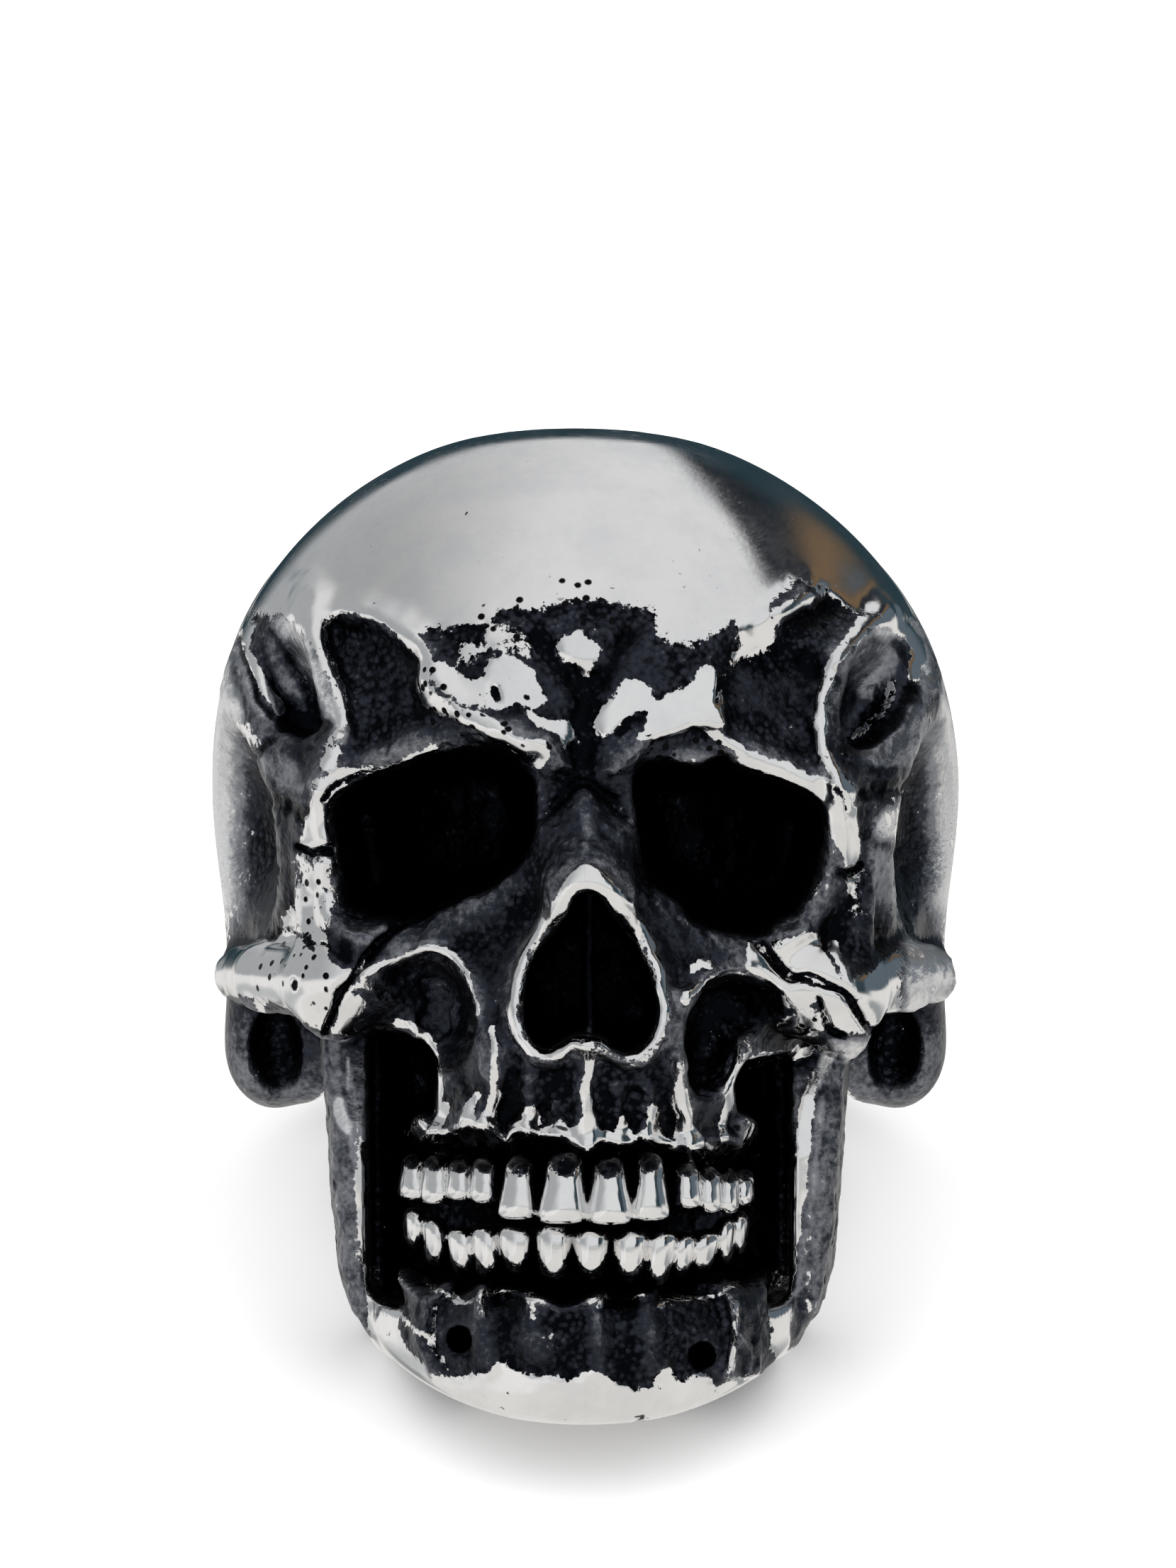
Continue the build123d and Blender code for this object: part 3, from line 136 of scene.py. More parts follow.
# Lines of low relief on the front view: width and height as shares of the half width,
# a furrow's height below zero, then points (across, up).
RELIEF = [
    (0.045, 0.036, [(-0.714, 0.820), (-0.718, 0.788), (-0.674, 0.743), (-0.627, 0.704), (-0.627, 0.682),
                    (-0.696, 0.635)]),                                               # left temple ridge
    (0.045, 0.036, [(0.785, 0.804), (0.740, 0.786), (0.635, 0.745), (0.605, 0.701), (0.614, 0.661),
                    (0.683, 0.623)]),                                                # right temple ridge
    (0.028, 0.030, [(-0.569, 0.444), (-0.476, 0.462), (-0.383, 0.468), (-0.312, 0.443), (-0.279, 0.401),
                    (-0.259, 0.349)]),                                               # left hollow's rim
    (0.028, 0.030, [(0.262, 0.422), (0.300, 0.437), (0.372, 0.446), (0.450, 0.443), (0.505, 0.428)]),
    (0.028, 0.023, [(0.262, 0.422), (0.248, 0.405), (0.235, 0.357)]),                # right hollow's rim
    (0.034, 0.036, [(-0.226, 0.372), (-0.235, 0.344), (-0.248, 0.320), (-0.260, 0.295)]),   # canine roots
    (0.034, 0.038, [(0.239, 0.355), (0.250, 0.327), (0.264, 0.296), (0.275, 0.274)]),
    (0.034, 0.040, [(0.004, 0.373), (0.002, 0.339), (0.002, 0.307), (0.004, 0.278)]),       # nasal spine
    (0.060, 0.026, [(0.004, 0.297), (0.004, 0.278)]),
    (0.026, 0.026, [(-0.141, 0.345), (-0.148, 0.290)]),                              # roots
    (0.026, 0.026, [(-0.072, 0.318), (-0.070, 0.289)]),
    (0.026, 0.026, [(0.083, 0.338), (0.090, 0.282)]),
    (0.026, 0.026, [(0.161, 0.338), (0.155, 0.287)]),
    (0.026, 0.026, [(-0.307, 0.318), (-0.314, 0.298)]),
    (0.028, 0.036, [(-0.439, 0.300), (-0.408, 0.287), (-0.347, 0.291), (-0.309, 0.301), (-0.253, 0.296),
                    (-0.204, 0.280), (-0.172, 0.292), (-0.128, 0.286), (-0.069, 0.287), (0.004, 0.276),
                    (0.040, 0.284), (0.094, 0.278), (0.148, 0.285), (0.197, 0.280), (0.235, 0.274),
                    (0.284, 0.274), (0.341, 0.281), (0.397, 0.278), (0.419, 0.295)]),       # upper gum line
    (0.042, 0.034, [(-0.580, 0.797), (-0.511, 0.786), (-0.429, 0.761), (-0.400, 0.725), (-0.311, 0.697),
                    (-0.189, 0.675), (-0.107, 0.665), (-0.080, 0.649)]),             # left brow's edge
    (0.017, 0.020, [(0.336, 0.740), (0.331, 0.712), (0.349, 0.691), (0.276, 0.693), (0.180, 0.677),
                    (0.080, 0.644)]),                                                # right brow's edge
    (0.045, -0.034, [(0.004, 0.728), (0.000, 0.712), (-0.004, 0.677), (-0.005, 0.640)]),    # frown
    (0.028, -0.020, [(-0.035, 0.736), (-0.085, 0.755), (-0.125, 0.775)]),
    (0.028, -0.020, [(0.045, 0.735), (0.080, 0.757), (0.105, 0.782)]),
    (0.013, -0.020, [(-0.102, 0.601), (-0.062, 0.614), (-0.005, 0.633), (0.065, 0.614), (0.098, 0.601)]),
    (0.015, 0.019, [(-0.483, 0.141), (-0.410, 0.125), (-0.319, 0.141), (-0.265, 0.143), (-0.272, 0.114)]),
    (0.018, 0.023, [(-0.264, 0.133), (-0.191, 0.136), (-0.047, 0.122), (0.097, 0.144), (0.143, 0.136),
                    (0.227, 0.143), (0.350, 0.139)]),                                # lower gum line
    (0.017, 0.023, [(-0.419, 0.114), (-0.430, 0.092), (-0.426, 0.074), (-0.393, 0.057)]),
    (0.019, 0.030, [(0.373, 0.128), (0.384, 0.104), (0.391, 0.083), (0.373, 0.051)]),
    (0.015, 0.023, [(0.400, 0.088), (0.425, 0.070), (0.436, 0.053)]),
    (0.034, 0.018, [(-0.275, 0.126), (-0.255, 0.066)]),                              # roots in the chin
    (0.034, 0.018, [(-0.136, 0.120), (-0.130, 0.076)]),
    (0.036, 0.020, [(0.024, 0.124), (0.032, 0.056)]),
    (0.034, 0.018, [(0.159, 0.122), (0.175, 0.066)]),
    (0.009, -0.028, [(-0.472, 0.495), (-0.521, 0.478), (-0.582, 0.449), (-0.615, 0.434), (-0.642, 0.415),
                     (-0.670, 0.386)]),                                              # left cheek's crack
    (0.009, -0.028, [(0.448, 0.470), (0.486, 0.455), (0.525, 0.442), (0.569, 0.440), (0.657, 0.430),
                     (0.684, 0.415), (0.739, 0.390)]),                               # right cheek's crack
    (0.007, -0.020, [(0.598, 0.423), (0.613, 0.406), (0.629, 0.390), (0.668, 0.383)]),
    (0.010, -0.030, [(-0.739, 0.568), (-0.695, 0.565), (-0.651, 0.567)]),
    (0.010, -0.030, [(0.647, 0.547), (0.677, 0.542), (0.710, 0.547)]),
    (0.034, 0.026, [(0.501, 0.800), (0.536, 0.811), (0.576, 0.821)]),                # right temple's tab
    (0.030, -0.030, [(0.526, 0.787), (0.577, 0.793), (0.623, 0.804)]),
]

# Teeth: middle and half width at the biting edge, edge's height, middle and half width at the
# root, root's height, and how far forward the face stands.
UPPER_TEETH = [
    (-0.453, 0.028, 0.222, -0.449, 0.017, 0.260, 0.741),
    (-0.389, 0.031, 0.220, -0.386, 0.025, 0.260, 0.815),
    (-0.323, 0.027, 0.225, -0.323, 0.020, 0.259, 0.879),
    (-0.260, 0.028, 0.224, -0.259, 0.020, 0.261, 0.927),
    (-0.172, 0.044, 0.210, -0.168, 0.023, 0.263, 0.970),
    (-0.058, 0.056, 0.207, -0.052, 0.032, 0.266, 1.000),
    (0.061, 0.052, 0.206, 0.060, 0.028, 0.263, 1.000),
    (0.162, 0.045, 0.209, 0.165, 0.021, 0.267, 0.974),
    (0.262, 0.027, 0.219, 0.258, 0.021, 0.257, 0.931),
    (0.319, 0.024, 0.213, 0.318, 0.018, 0.252, 0.879),
    (0.370, 0.020, 0.211, 0.370, 0.016, 0.247, 0.819),
    (0.413, 0.017, 0.216, 0.414, 0.015, 0.245, 0.750),
]
LOWER_TEETH = [
    (-0.446, 0.020, 0.205, -0.441, 0.017, 0.171, 0.733),
    (-0.392, 0.023, 0.197, -0.380, 0.022, 0.154, 0.789),
    (-0.321, 0.026, 0.190, -0.311, 0.024, 0.148, 0.849),
    (-0.256, 0.027, 0.193, -0.245, 0.024, 0.147, 0.901),
    (-0.177, 0.036, 0.196, -0.173, 0.022, 0.154, 0.944),
    (-0.080, 0.037, 0.197, -0.079, 0.022, 0.147, 0.974),
    (0.014, 0.037, 0.194, 0.014, 0.022, 0.148, 0.981),
    (0.112, 0.036, 0.192, 0.108, 0.022, 0.147, 0.970),
    (0.192, 0.032, 0.190, 0.179, 0.018, 0.143, 0.944),
    (0.251, 0.021, 0.186, 0.239, 0.018, 0.148, 0.901),
    (0.308, 0.028, 0.186, 0.291, 0.022, 0.148, 0.853),
    (0.363, 0.016, 0.197, 0.353, 0.016, 0.156, 0.797),
    (0.403, 0.014, 0.201, 0.394, 0.013, 0.163, 0.741),
]
MENTAL_HOLES = [(-0.346, 0.086), (0.319, 0.070)]
mental_near, mental_far = (1.08, 0.036), (0.754, 0.032)     # their ends: forward, and radius

# The hollows under the eyes: side, centre and radii (across, forward, up), and their turn in the
# face's plane and in plan, in degrees
CHEEK_HOLLOWS = [
    (-1, (0.389, 0.888, 0.403), (0.109, 0.142, 0.062), -9, 0),
    (1, (0.352, 0.885, 0.380), (0.096, 0.130, 0.063), -9, 10),
    (1, (0.425, 0.862, 0.408), (0.130, 0.118, 0.038), -9, 24),
]

# The brain case: its middle (across, forward, up), then shares of the half width, the reach and
# the height
case_middle = (0.0, 0.388, 0.636)
case_half = 0.996       # its half width
case_reach = 0.496      # from its middle forward to the forehead
crown_rise = 0.362      # from its middle up to the crown
crown_lean = 0.028      # how far the crown's top lies to the left, a share of its own height
case_floor = 0.347      # height of its lower end

# The ring's upper edge, and the band with its shoulders
roof_peak = 1.015       # height of the upper edge over the face
roof_start = 0.431      # how far forward it begins to fall
roof_bend = 1.35        # how much its slope hollows
shoulder_front = 0.26   # how far forward the shoulders run
shoulder_slack = 0.2 * mm               # how much narrower they are than the skull
shoulder_middle = 0.49                  # height of their bulge's middle
shoulder_full, shoulder_end = 0.09, 0.26      # how far above and below it the bulge is whole, and gone
bulge_back, bulge_front = 0.39, -0.09   # how far back it is gone, and whole
# The band's lower edge: place back, and height as a share of the band's rise
BAND_UNDER = [(-0.35, 0.900), (-0.17, 0.889), (0, 0.906), (0.17, 0.932), (0.34, 0.966), (0.55, 1.0)]

# The lower jaw: half width over its height (up, across), and its lower edge (forward, up)
JAW_HALF = [(0, 0.28), (0.035, 0.39), (0.058, 0.490), (0.078, 0.570), (0.1035, 0.625), (0.150, 0.655),
            (0.231, 0.675), (0.289, 0.684), (0.405, 0.706)]
JAW_UNDER = [(0.30, 0.095), (0.345, 0.087), (0.603, 0.026), (0.862, 0.004)]
jaw_arch, arch_half = 0.028, 0.49       # rise of the arch under the chin, and its half width
arch_back, arch_front = 0.45, 0.60      # how far forward the arch is whole, and gone
jaw_rear, jaw_top = 0.353, 0.448        # its rear edge at the corner, and the top of its branch
corner_up = 0.101                       # height of the corner
rear_slope = 0.25                       # how the rear edge leans back above the corner
branch_lead, branch_turn = 0.62, 0.26   # the branch's front edge, and the height where it leans
chin_half, chin_back, chin_reach = 0.575, 0.496, 0.457      # the chin's half oval in plan
chin_middle, chin_top = 0.0925, 0.126   # heights of its fullest line and of its top
chin_rear = 0.302                       # how far forward its rear side lies
# Side, the branch's inner face, the gap's outer face, and how far the gap's top lies below GAP_TOP
JAW_BRANCHES = [(-1, 0.540, 0.570, 0), (1, 0.502, 0.536, 0.023)]

# The mouth: the gaps beside the tooth rows (up, across; then across, up) and the slot of the teeth
GAP_INNER = [(0.101, 0.453), (0.145, 0.479), (0.275, 0.491), (0.303, 0.389), (0.361, 0.377), (0.393, 0.423)]
GAP_TOP = [(0.340, 0.353), (0.415, 0.382), (0.528, 0.384), (0.679, 0.373)]
gap_floor = 0.104
slot_half, slot_middle, slot_rise = 0.528, 0.201, 0.071
row_half, row_back, row_bow = 0.521, 0.625, 0.323           # the tooth row's half oval in plan
row_depth = 0.9 * mm                    # how far the slot goes behind the row
tooth_over, tooth_root = 0.10 * mm, 1.06      # how far a tooth passes its edge, and its root's share


def place(across, forward, up):
    """A point from its shares."""
    return np.array([across * half, -forward * face_reach, up * skull_height])


def front(points):
    """Points of the front view from their shares."""
    return np.array([(across * half, up * skull_height) for across, up in points])


def soft_join(a, b, blend):
    """The lesser of two distances, with the crease between them filled over the blend."""
    h = np.maximum(blend - np.abs(a - b), 0.0) / blend
    return np.minimum(a, b) - h * h * blend / 4


def soft_meet(a, b, blend):
    """What two solids share, with its edge rounded over the blend."""
    return -soft_join(-a, -b, blend)


def soft_cut(a, b, blend):
    """The first solid without the second."""
    return soft_meet(a, -b, blend)


def ease(start, end, value):
    """A smooth step from 0 at start to 1 at end."""
    t = np.clip((value - start) / (end - start), 0.0, 1.0)
    return t * t * (3 - 2 * t)


def smooth_line(points, closed=False, steps=5):
    """A curve through the points, each stretch a cubic whose ends lean as their neighbours lie."""
    p = np.asarray(points, float)
    if closed:
        before, after, beyond = np.roll(p, 1, 0), np.roll(p, -1, 0), np.roll(p, -2, 0)
        start = p
    else:
        wide = np.vstack([2 * p[0] - p[1], p, 2 * p[-1] - p[-2]])
        before, start, after, beyond = wide[:-3], wide[1:-2], wide[2:-1], wide[3:]
    t = (np.arange(steps) / steps)[None, :, None]
    before, start, after, beyond = before[:, None], start[:, None], after[:, None], beyond[:, None]
    line = 0.5 * (2 * start + (after - before) * t + (2 * before - 5 * start + 4 * after - beyond) * t ** 2
                  + (3 * start - before - 3 * after + beyond) * t ** 3)
    line = line.reshape(-1, p.shape[1])
    return line if closed else np.vstack([line, p[-1:]])


def line_distance(u, w, line):
    """Distance in the plane to an open line."""
    best = np.full(u.shape, np.inf)
    for (ax, ay), (bx, by) in zip(line[:-1], line[1:]):
        ex, ey = bx - ax, by - ay
        t = np.clip(((u - ax) * ex + (w - ay) * ey) / (ex * ex + ey * ey), 0, 1)
        best = np.minimum(best, (u - ax - ex * t) ** 2 + (w - ay - ey * t) ** 2)
    return np.sqrt(best)


def loop_distance(u, w, loop):
    """Distance in the plane to a closed line, below zero inside it."""
    best = np.full(u.shape, np.inf)
    sign = np.ones(u.shape)
    for (ax, ay), (bx, by) in zip(loop, np.roll(loop, 1, 0)):
        ex, ey = bx - ax, by - ay
        wx, wy = u - ax, w - ay
        t = np.clip((wx * ex + wy * ey) / (ex * ex + ey * ey), 0, 1)
        best = np.minimum(best, (wx - ex * t) ** 2 + (wy - ey * t) ** 2)
        above, below, beside = w >= ay, w < by, ex * wy > ey * wx
        sign = np.where((above & below & beside) | ~(above | below | beside), -sign, sign)
    return sign * np.sqrt(best)


class Sheet:
    """Heights drawn on a grid over the front view and read back between its nodes."""

    def __init__(self, step, low, high, level=0.0):
        self.step, self.low = step, np.array(low)
        self.u, self.w = np.meshgrid(*[np.arange(low[n], high[n], step) for n in (0, 1)], indexing="ij")
        self.height = np.full(self.u.shape, level)

    def window(self, points, margin):
        """The part of the grid round some points."""
        low = np.floor((np.min(points, 0) - margin - self.low) / self.step).astype(int)
        high = np.ceil((np.max(points, 0) + margin - self.low) / self.step).astype(int) + 1
        low, high = np.clip(low, 0, self.u.shape), np.clip(high, 0, self.u.shape)
        return slice(low[0], high[0]), slice(low[1], high[1])

    def near_line(self, points, reach):
        """The part of the grid near a line through the points, and its distance from the line."""
        path = smooth_line(points) if len(points) > 2 else np.asarray(points, float)
        spot = self.window(path, reach)
        return spot, line_distance(self.u[spot], self.w[spot], path)

    def near_loop(self, points, reach):
        """The same for a closed line, with the distance below zero inside it."""
        path = smooth_line(points, closed=True)
        spot = self.window(path, reach)
        return spot, loop_distance(self.u[spot], self.w[spot], path)

    def read(self, u, w):
        """The height at points of the front view."""
        i = np.clip((u - self.low[0]) / self.step, 0, self.u.shape[0] - 1.001)
        j = np.clip((w - self.low[1]) / self.step, 0, self.u.shape[1] - 1.001)
        i0, j0 = i.astype(int), j.astype(int)
        a, b = i - i0, j - j0
        h = self.height
        return ((1 - a) * (1 - b) * h[i0, j0] + a * (1 - b) * h[i0 + 1, j0]
                + (1 - a) * b * h[i0, j0 + 1] + a * b * h[i0 + 1, j0 + 1])


def front_sheet(step, level=0.0):
    """A sheet over the whole front of the skull."""
    return Sheet(step, (-1.06 * half, -0.04 * skull_height), (1.06 * half, 1.04 * skull_height), level)


def outline_sheet(step, points):
    """The distance to a closed outline of the front view, near it; further off a large number."""
    sheet = front_sheet(step, 3 * mm)
    spot, away = sheet.near_loop(front(points), 3 * mm)
    sheet.height[spot] = away
    return sheet


def egg(x, y, z, centre, radii, roll=0, yaw=0):
    """Distance to an ellipsoid, turned in the face's plane by roll and in plan by yaw."""
    x, y, z = x - centre[0], y - centre[1], z - centre[2]
    c, s = math.cos(math.radians(yaw)), math.sin(math.radians(yaw))
    x, y = c * x + s * y, c * y - s * x
    c, s = math.cos(math.radians(roll)), math.sin(math.radians(roll))
    x, z = c * x + s * z, c * z - s * x
    rx, ry, rz = radii
    q = np.sqrt((x / rx) ** 2 + (y / ry) ** 2 + (z / rz) ** 2) + 1e-6
    slope = np.sqrt((x / rx ** 2) ** 2 + (y / ry ** 2) ** 2 + (z / rz ** 2) ** 2) + 1e-6 / mm
    return q * (q - 1) / slope


def bar(x, y, z, points, radii):
    """Distance to a round bar through points, its radius changing evenly between them."""
    field = None
    for a, b, start, end in zip(points[:-1], points[1:], radii[:-1], radii[1:]):
        run = b - a
        qx, qy, qz = x - a[0], y - a[1], z - a[2]
        t = np.clip((qx * run[0] + qy * run[1] + qz * run[2]) / (run @ run), 0, 1)
        away = np.sqrt((qx - t * run[0]) ** 2 + (qy - t * run[1]) ** 2 + (qz - t * run[2]) ** 2)
        away = away - (start + (end - start) * t)
        field = away if field is None else soft_join(field, away, 0.3 * mm)
    return field


def profile(value, table):
    """A height read between the rows of a short table of (place, height)."""
    return np.interp(value, [row[0] for row in table], [row[1] for row in table])


def cranium(x, y, z):
    """The brain case: an ellipsoid in front, carried straight back over the shoulders."""
    centre = place(*case_middle)
    rx, ry, rz = case_half * half, case_reach * face_reach, crown_rise * skull_height
    x, back = x + crown_lean * np.maximum(z - centre[2], 0), np.minimum(y - centre[1], 0)
    q = np.sqrt((x / rx) ** 2 + (back / ry) ** 2 + ((z - centre[2]) / rz) ** 2) + 1e-6
    slope = np.sqrt((x / rx ** 2) ** 2 + (back / ry ** 2) ** 2 + ((z - centre[2]) / rz ** 2) ** 2) + 1e-6 / mm
    field = soft_meet(q * (q - 1) / slope, y, 3 * mm)
    return soft_meet(field, case_floor * skull_height - z, 2 * mm)


def roof(y):
    """Height of the ring's upper edge: from the crown down to the band at the back."""
    back_top = band_rise + band_width
    share = np.clip((band_outer - y) / (band_outer + roof_start * face_reach), 0, 1)
    return back_top + (roof_peak * skull_height - back_top) * share ** roof_bend


def shank(x, y, z):
    """Band and shoulders: straight sides in front, round at the back, domed like the skull above."""
    outside = np.sqrt(x ** 2 + np.maximum(y, 0) ** 2) - band_outer
    bulge = (half - shoulder_slack - band_outer) * ease(bulge_back, bulge_front, y / face_reach) \
        * ease(shoulder_end, shoulder_full, np.abs(z / skull_height - shoulder_middle))
    above = np.maximum(z - case_middle[2] * skull_height, 0)
    across, up = (x + crown_lean * above) / (case_half * half), above / (crown_rise * skull_height)
    dome = np.sqrt(across ** 2 + up ** 2)
    dome = (dome - 1) * 0.95 * half
    under = profile(y / face_reach, BAND_UNDER) * band_rise
    field = soft_meet(outside - bulge, dome, 1 * mm)
    field = soft_meet(field, np.maximum(z - roof(y), under - z), 2.2 * mm)
    return soft_meet(field, -y - shoulder_front * face_reach, 2.5 * mm)


def jaw_half(z):
    """Half width of the lower jaw over its height."""
    return half * profile(z / skull_height, JAW_HALF)


def jaw_under(x, y):
    """Lower edge of the jaw: up from the chin to the corners, arched between them."""
    rise = profile(-y / face_reach, JAW_UNDER) * skull_height
    arch = jaw_arch * skull_height * np.clip(1 - (x / (arch_half * half)) ** 2, 0, 1) \
        * ease(arch_front, arch_back, -y / face_reach)
    side = 0.026 * x ** 2 / mm * ease(0.45, 0.65, -y / face_reach)
    return rise + arch + side


def jaw_back(z):
    """How far back the jaw reaches over its height."""
    return -jaw_rear * face_reach + rear_slope * np.clip(z - corner_up * skull_height, 0, 0.35 * skull_height)


def closing(x, y, z):
    """The wall between the finger and the mouth."""
    field = soft_meet(np.sqrt(x ** 2 + y ** 2) - floor_radius + 0.1 * mm,
                      np.maximum(jaw_under(x, y) - z, z - 0.52 * skull_height), 0.8 * mm)
    field = soft_meet(field, np.abs(x) - jaw_half(z) + 0.1 * mm, 0.8 * mm)
    return soft_meet(field, y - jaw_back(z), 1.2 * mm)


def ramus(x, y, z, inner):
    """The upright branch of the jaw: a plate from the jaw's corner to under the arch."""
    outer = x - jaw_half(z) + 0.05 * np.maximum(-y / mm - 0.474 * face_reach / mm, 0) ** 1.5 * mm
    lead = -(y + branch_lead * face_reach - rear_slope * np.maximum(z - branch_turn * skull_height, 0))
    field = soft_meet(soft_meet(outer, inner - x, 0.5 * mm), lead, 0.7 * mm)
    field = soft_meet(field, jaw_under(x, y) - z, 1.2 * mm)
    return soft_meet(field, np.maximum(z - jaw_top * skull_height, y - jaw_back(z)), 0.8 * mm)


def jaw_body(x, y, z):
    """The jaw's front: half an oval in plan, leaning in above and below."""
    lead = np.minimum(y + chin_back * face_reach, 0) / (chin_reach * face_reach)
    oval = (np.sqrt((x / (chin_half * half)) ** 2 + lead ** 2) - 1) * 0.65 * half
    oval = oval + 0.096 * mm * (np.abs(z - chin_middle * skull_height) / mm) ** 1.3
    top = chin_top * skull_height + 0.012 * x ** 2 / mm
    field = soft_meet(oval, np.maximum(jaw_under(x, y) - z, z - top), 1.1 * mm)
    field = soft_meet(field, y + chin_rear * face_reach, 0.8 * mm)
    return soft_meet(field, bore_radius + 0.6 * mm - np.sqrt(x ** 2 + y ** 2), 0.4 * mm)


def mouth_side(x, y, z, outer, drop):
    """The deep gap between the tooth rows and the branch of the jaw."""
    inner = half * profile(z / skull_height, GAP_INNER)
    top = skull_height * (profile(x / half, GAP_TOP) - drop)
    floor = gap_floor * skull_height + 0.25 * (x - 0.415 * half)
    field = soft_meet(inner - x, x - outer, 0.4 * mm)
    field = soft_meet(field, np.maximum(floor - z, z - top), 0.6 * mm)
    return soft_meet(field, floor_radius - 0.3 * mm - np.sqrt(x ** 2 + y ** 2), 0.5 * mm)


def mouth_slot(x, y, z):
    """The shadowed slot that the teeth stand in."""
    share = np.clip(np.abs(x) / (row_half * half), 0, 0.999)
    row = -face_reach * (row_back + row_bow * np.sqrt(1 - share ** 2.2)) + row_depth
    field = soft_meet(y - row, np.abs(z - slot_middle * skull_height) - slot_rise * skull_height, 0.5 * mm)
    return soft_meet(field, np.abs(x) - slot_half * half, 0.4 * mm)


def tooth_lines(x, z, row, upper):
    """Of points and a tooth: the share of its height from the edge to the root, how far off its
    middle line they lie, its half width there, and how far forward its face stands."""
    middle, wide, edge, root_middle, root_wide, root, forward = row
    edge, root = edge * skull_height, root * skull_height
    edge = edge + (jaw_gap - 0.4 * mm) * (0.5 if upper else -0.5)
    share = (z - edge) / (root - edge)
    along = middle * half + share * (root_middle - middle) * half
    narrowing = np.clip(share, 0, 1.2) ** (1.0 if upper else 2.0)
    flank = tooth_over + half * (wide + narrowing * (root_wide - wide))
    turn = math.copysign(min(max(abs(middle) - 0.075, 0) / 0.415, 1), middle) * 0.95
    side = x - along
    face = -forward * face_reach + 0.40 * mm * (side / flank) ** 2 + 0.8 * side * math.tan(turn)
    if upper:
        face = face + mm * (0.30 * share + 1.5 * np.clip(0.20 - share, 0, 1) ** 1.5
                            + 2.2 * np.clip(share - 0.72, 0, 1) ** 1.5)
    else:
        face = face + mm * (0.40 * (share - 0.35) ** 2 + 1.6 * np.clip(share - 0.60, 0, 1) ** 1.5
                            + 0.8 * np.clip(0.12 - share, 0, 1))
    return share, side, flank, face


def tooth(x, y, z, row, upper):
    """A tooth: a rounded wedge between its edge and its root, turned to follow the row."""
    share, side, flank, face = tooth_lines(x, z, row, upper)
    tall = abs(row[5] - row[2]) * skull_height
    field = soft_meet(np.abs(side) - flank, face - y, 0.42 * mm)
    field = soft_meet(field, -share * tall - tooth_over, 0.32 * mm)
    field = soft_meet(field, (share - tooth_root) * tall, 0.4 * mm)
    return soft_meet(field, y + row[6] * face_reach - tooth_depth, 0.3 * mm)


def unsteady(x, y, z):
    """Places across and up moved about by a random tenth of a millimetre, as a carver's hand would."""
    return x + 0.11 * mm * noise(x, y, z, 0.65 * mm, 21), z + 0.11 * mm * noise(x, y, z, 0.65 * mm, 22)


def draw_relief(step):
    """The low relief of the front: rims, ridges, seams and the hollows beside the brows."""
    nose, left, right = (outline_sheet(step, points) for points in (NOSE, LEFT_EYE, RIGHT_EYE))
    relief = front_sheet(step)
    for hollow in (LEFT_BROW_HOLLOW, RIGHT_BROW_HOLLOW):
        edge = 0.60 * mm
        spot, away = relief.near_loop(front(hollow), 2 * edge)
        relief.height[spot] -= brow_depth * ease(edge, -edge, away)
    up = relief.w / skull_height
    broad = mm * (0.40 + 0.25 * ease(0.46, 0.52, up))
    rim = rim_height * np.exp(-((nose.height - 0.55 * broad) / broad) ** 2)
    relief.height += rim * ease(0.335, 0.364, up)
    for eye, side in ((left, -1), (right, 1)):
        out = side * relief.u / half
        rim = (0.18 * mm + 0.40 * mm * ease(0.26, 0.53, out)) * ease(0.04, 0.15, out)
        relief.height += rim * np.exp(-((eye.height - 0.60 * mm) / (0.58 * mm)) ** 2)
    for width, height, points in RELIEF:
        spot, away = relief.near_line(front(points), 2.5 * width * half)
        relief.height[spot] += height * half * np.exp(-(away / (width * half)) ** 2)
    return relief, nose, left, right


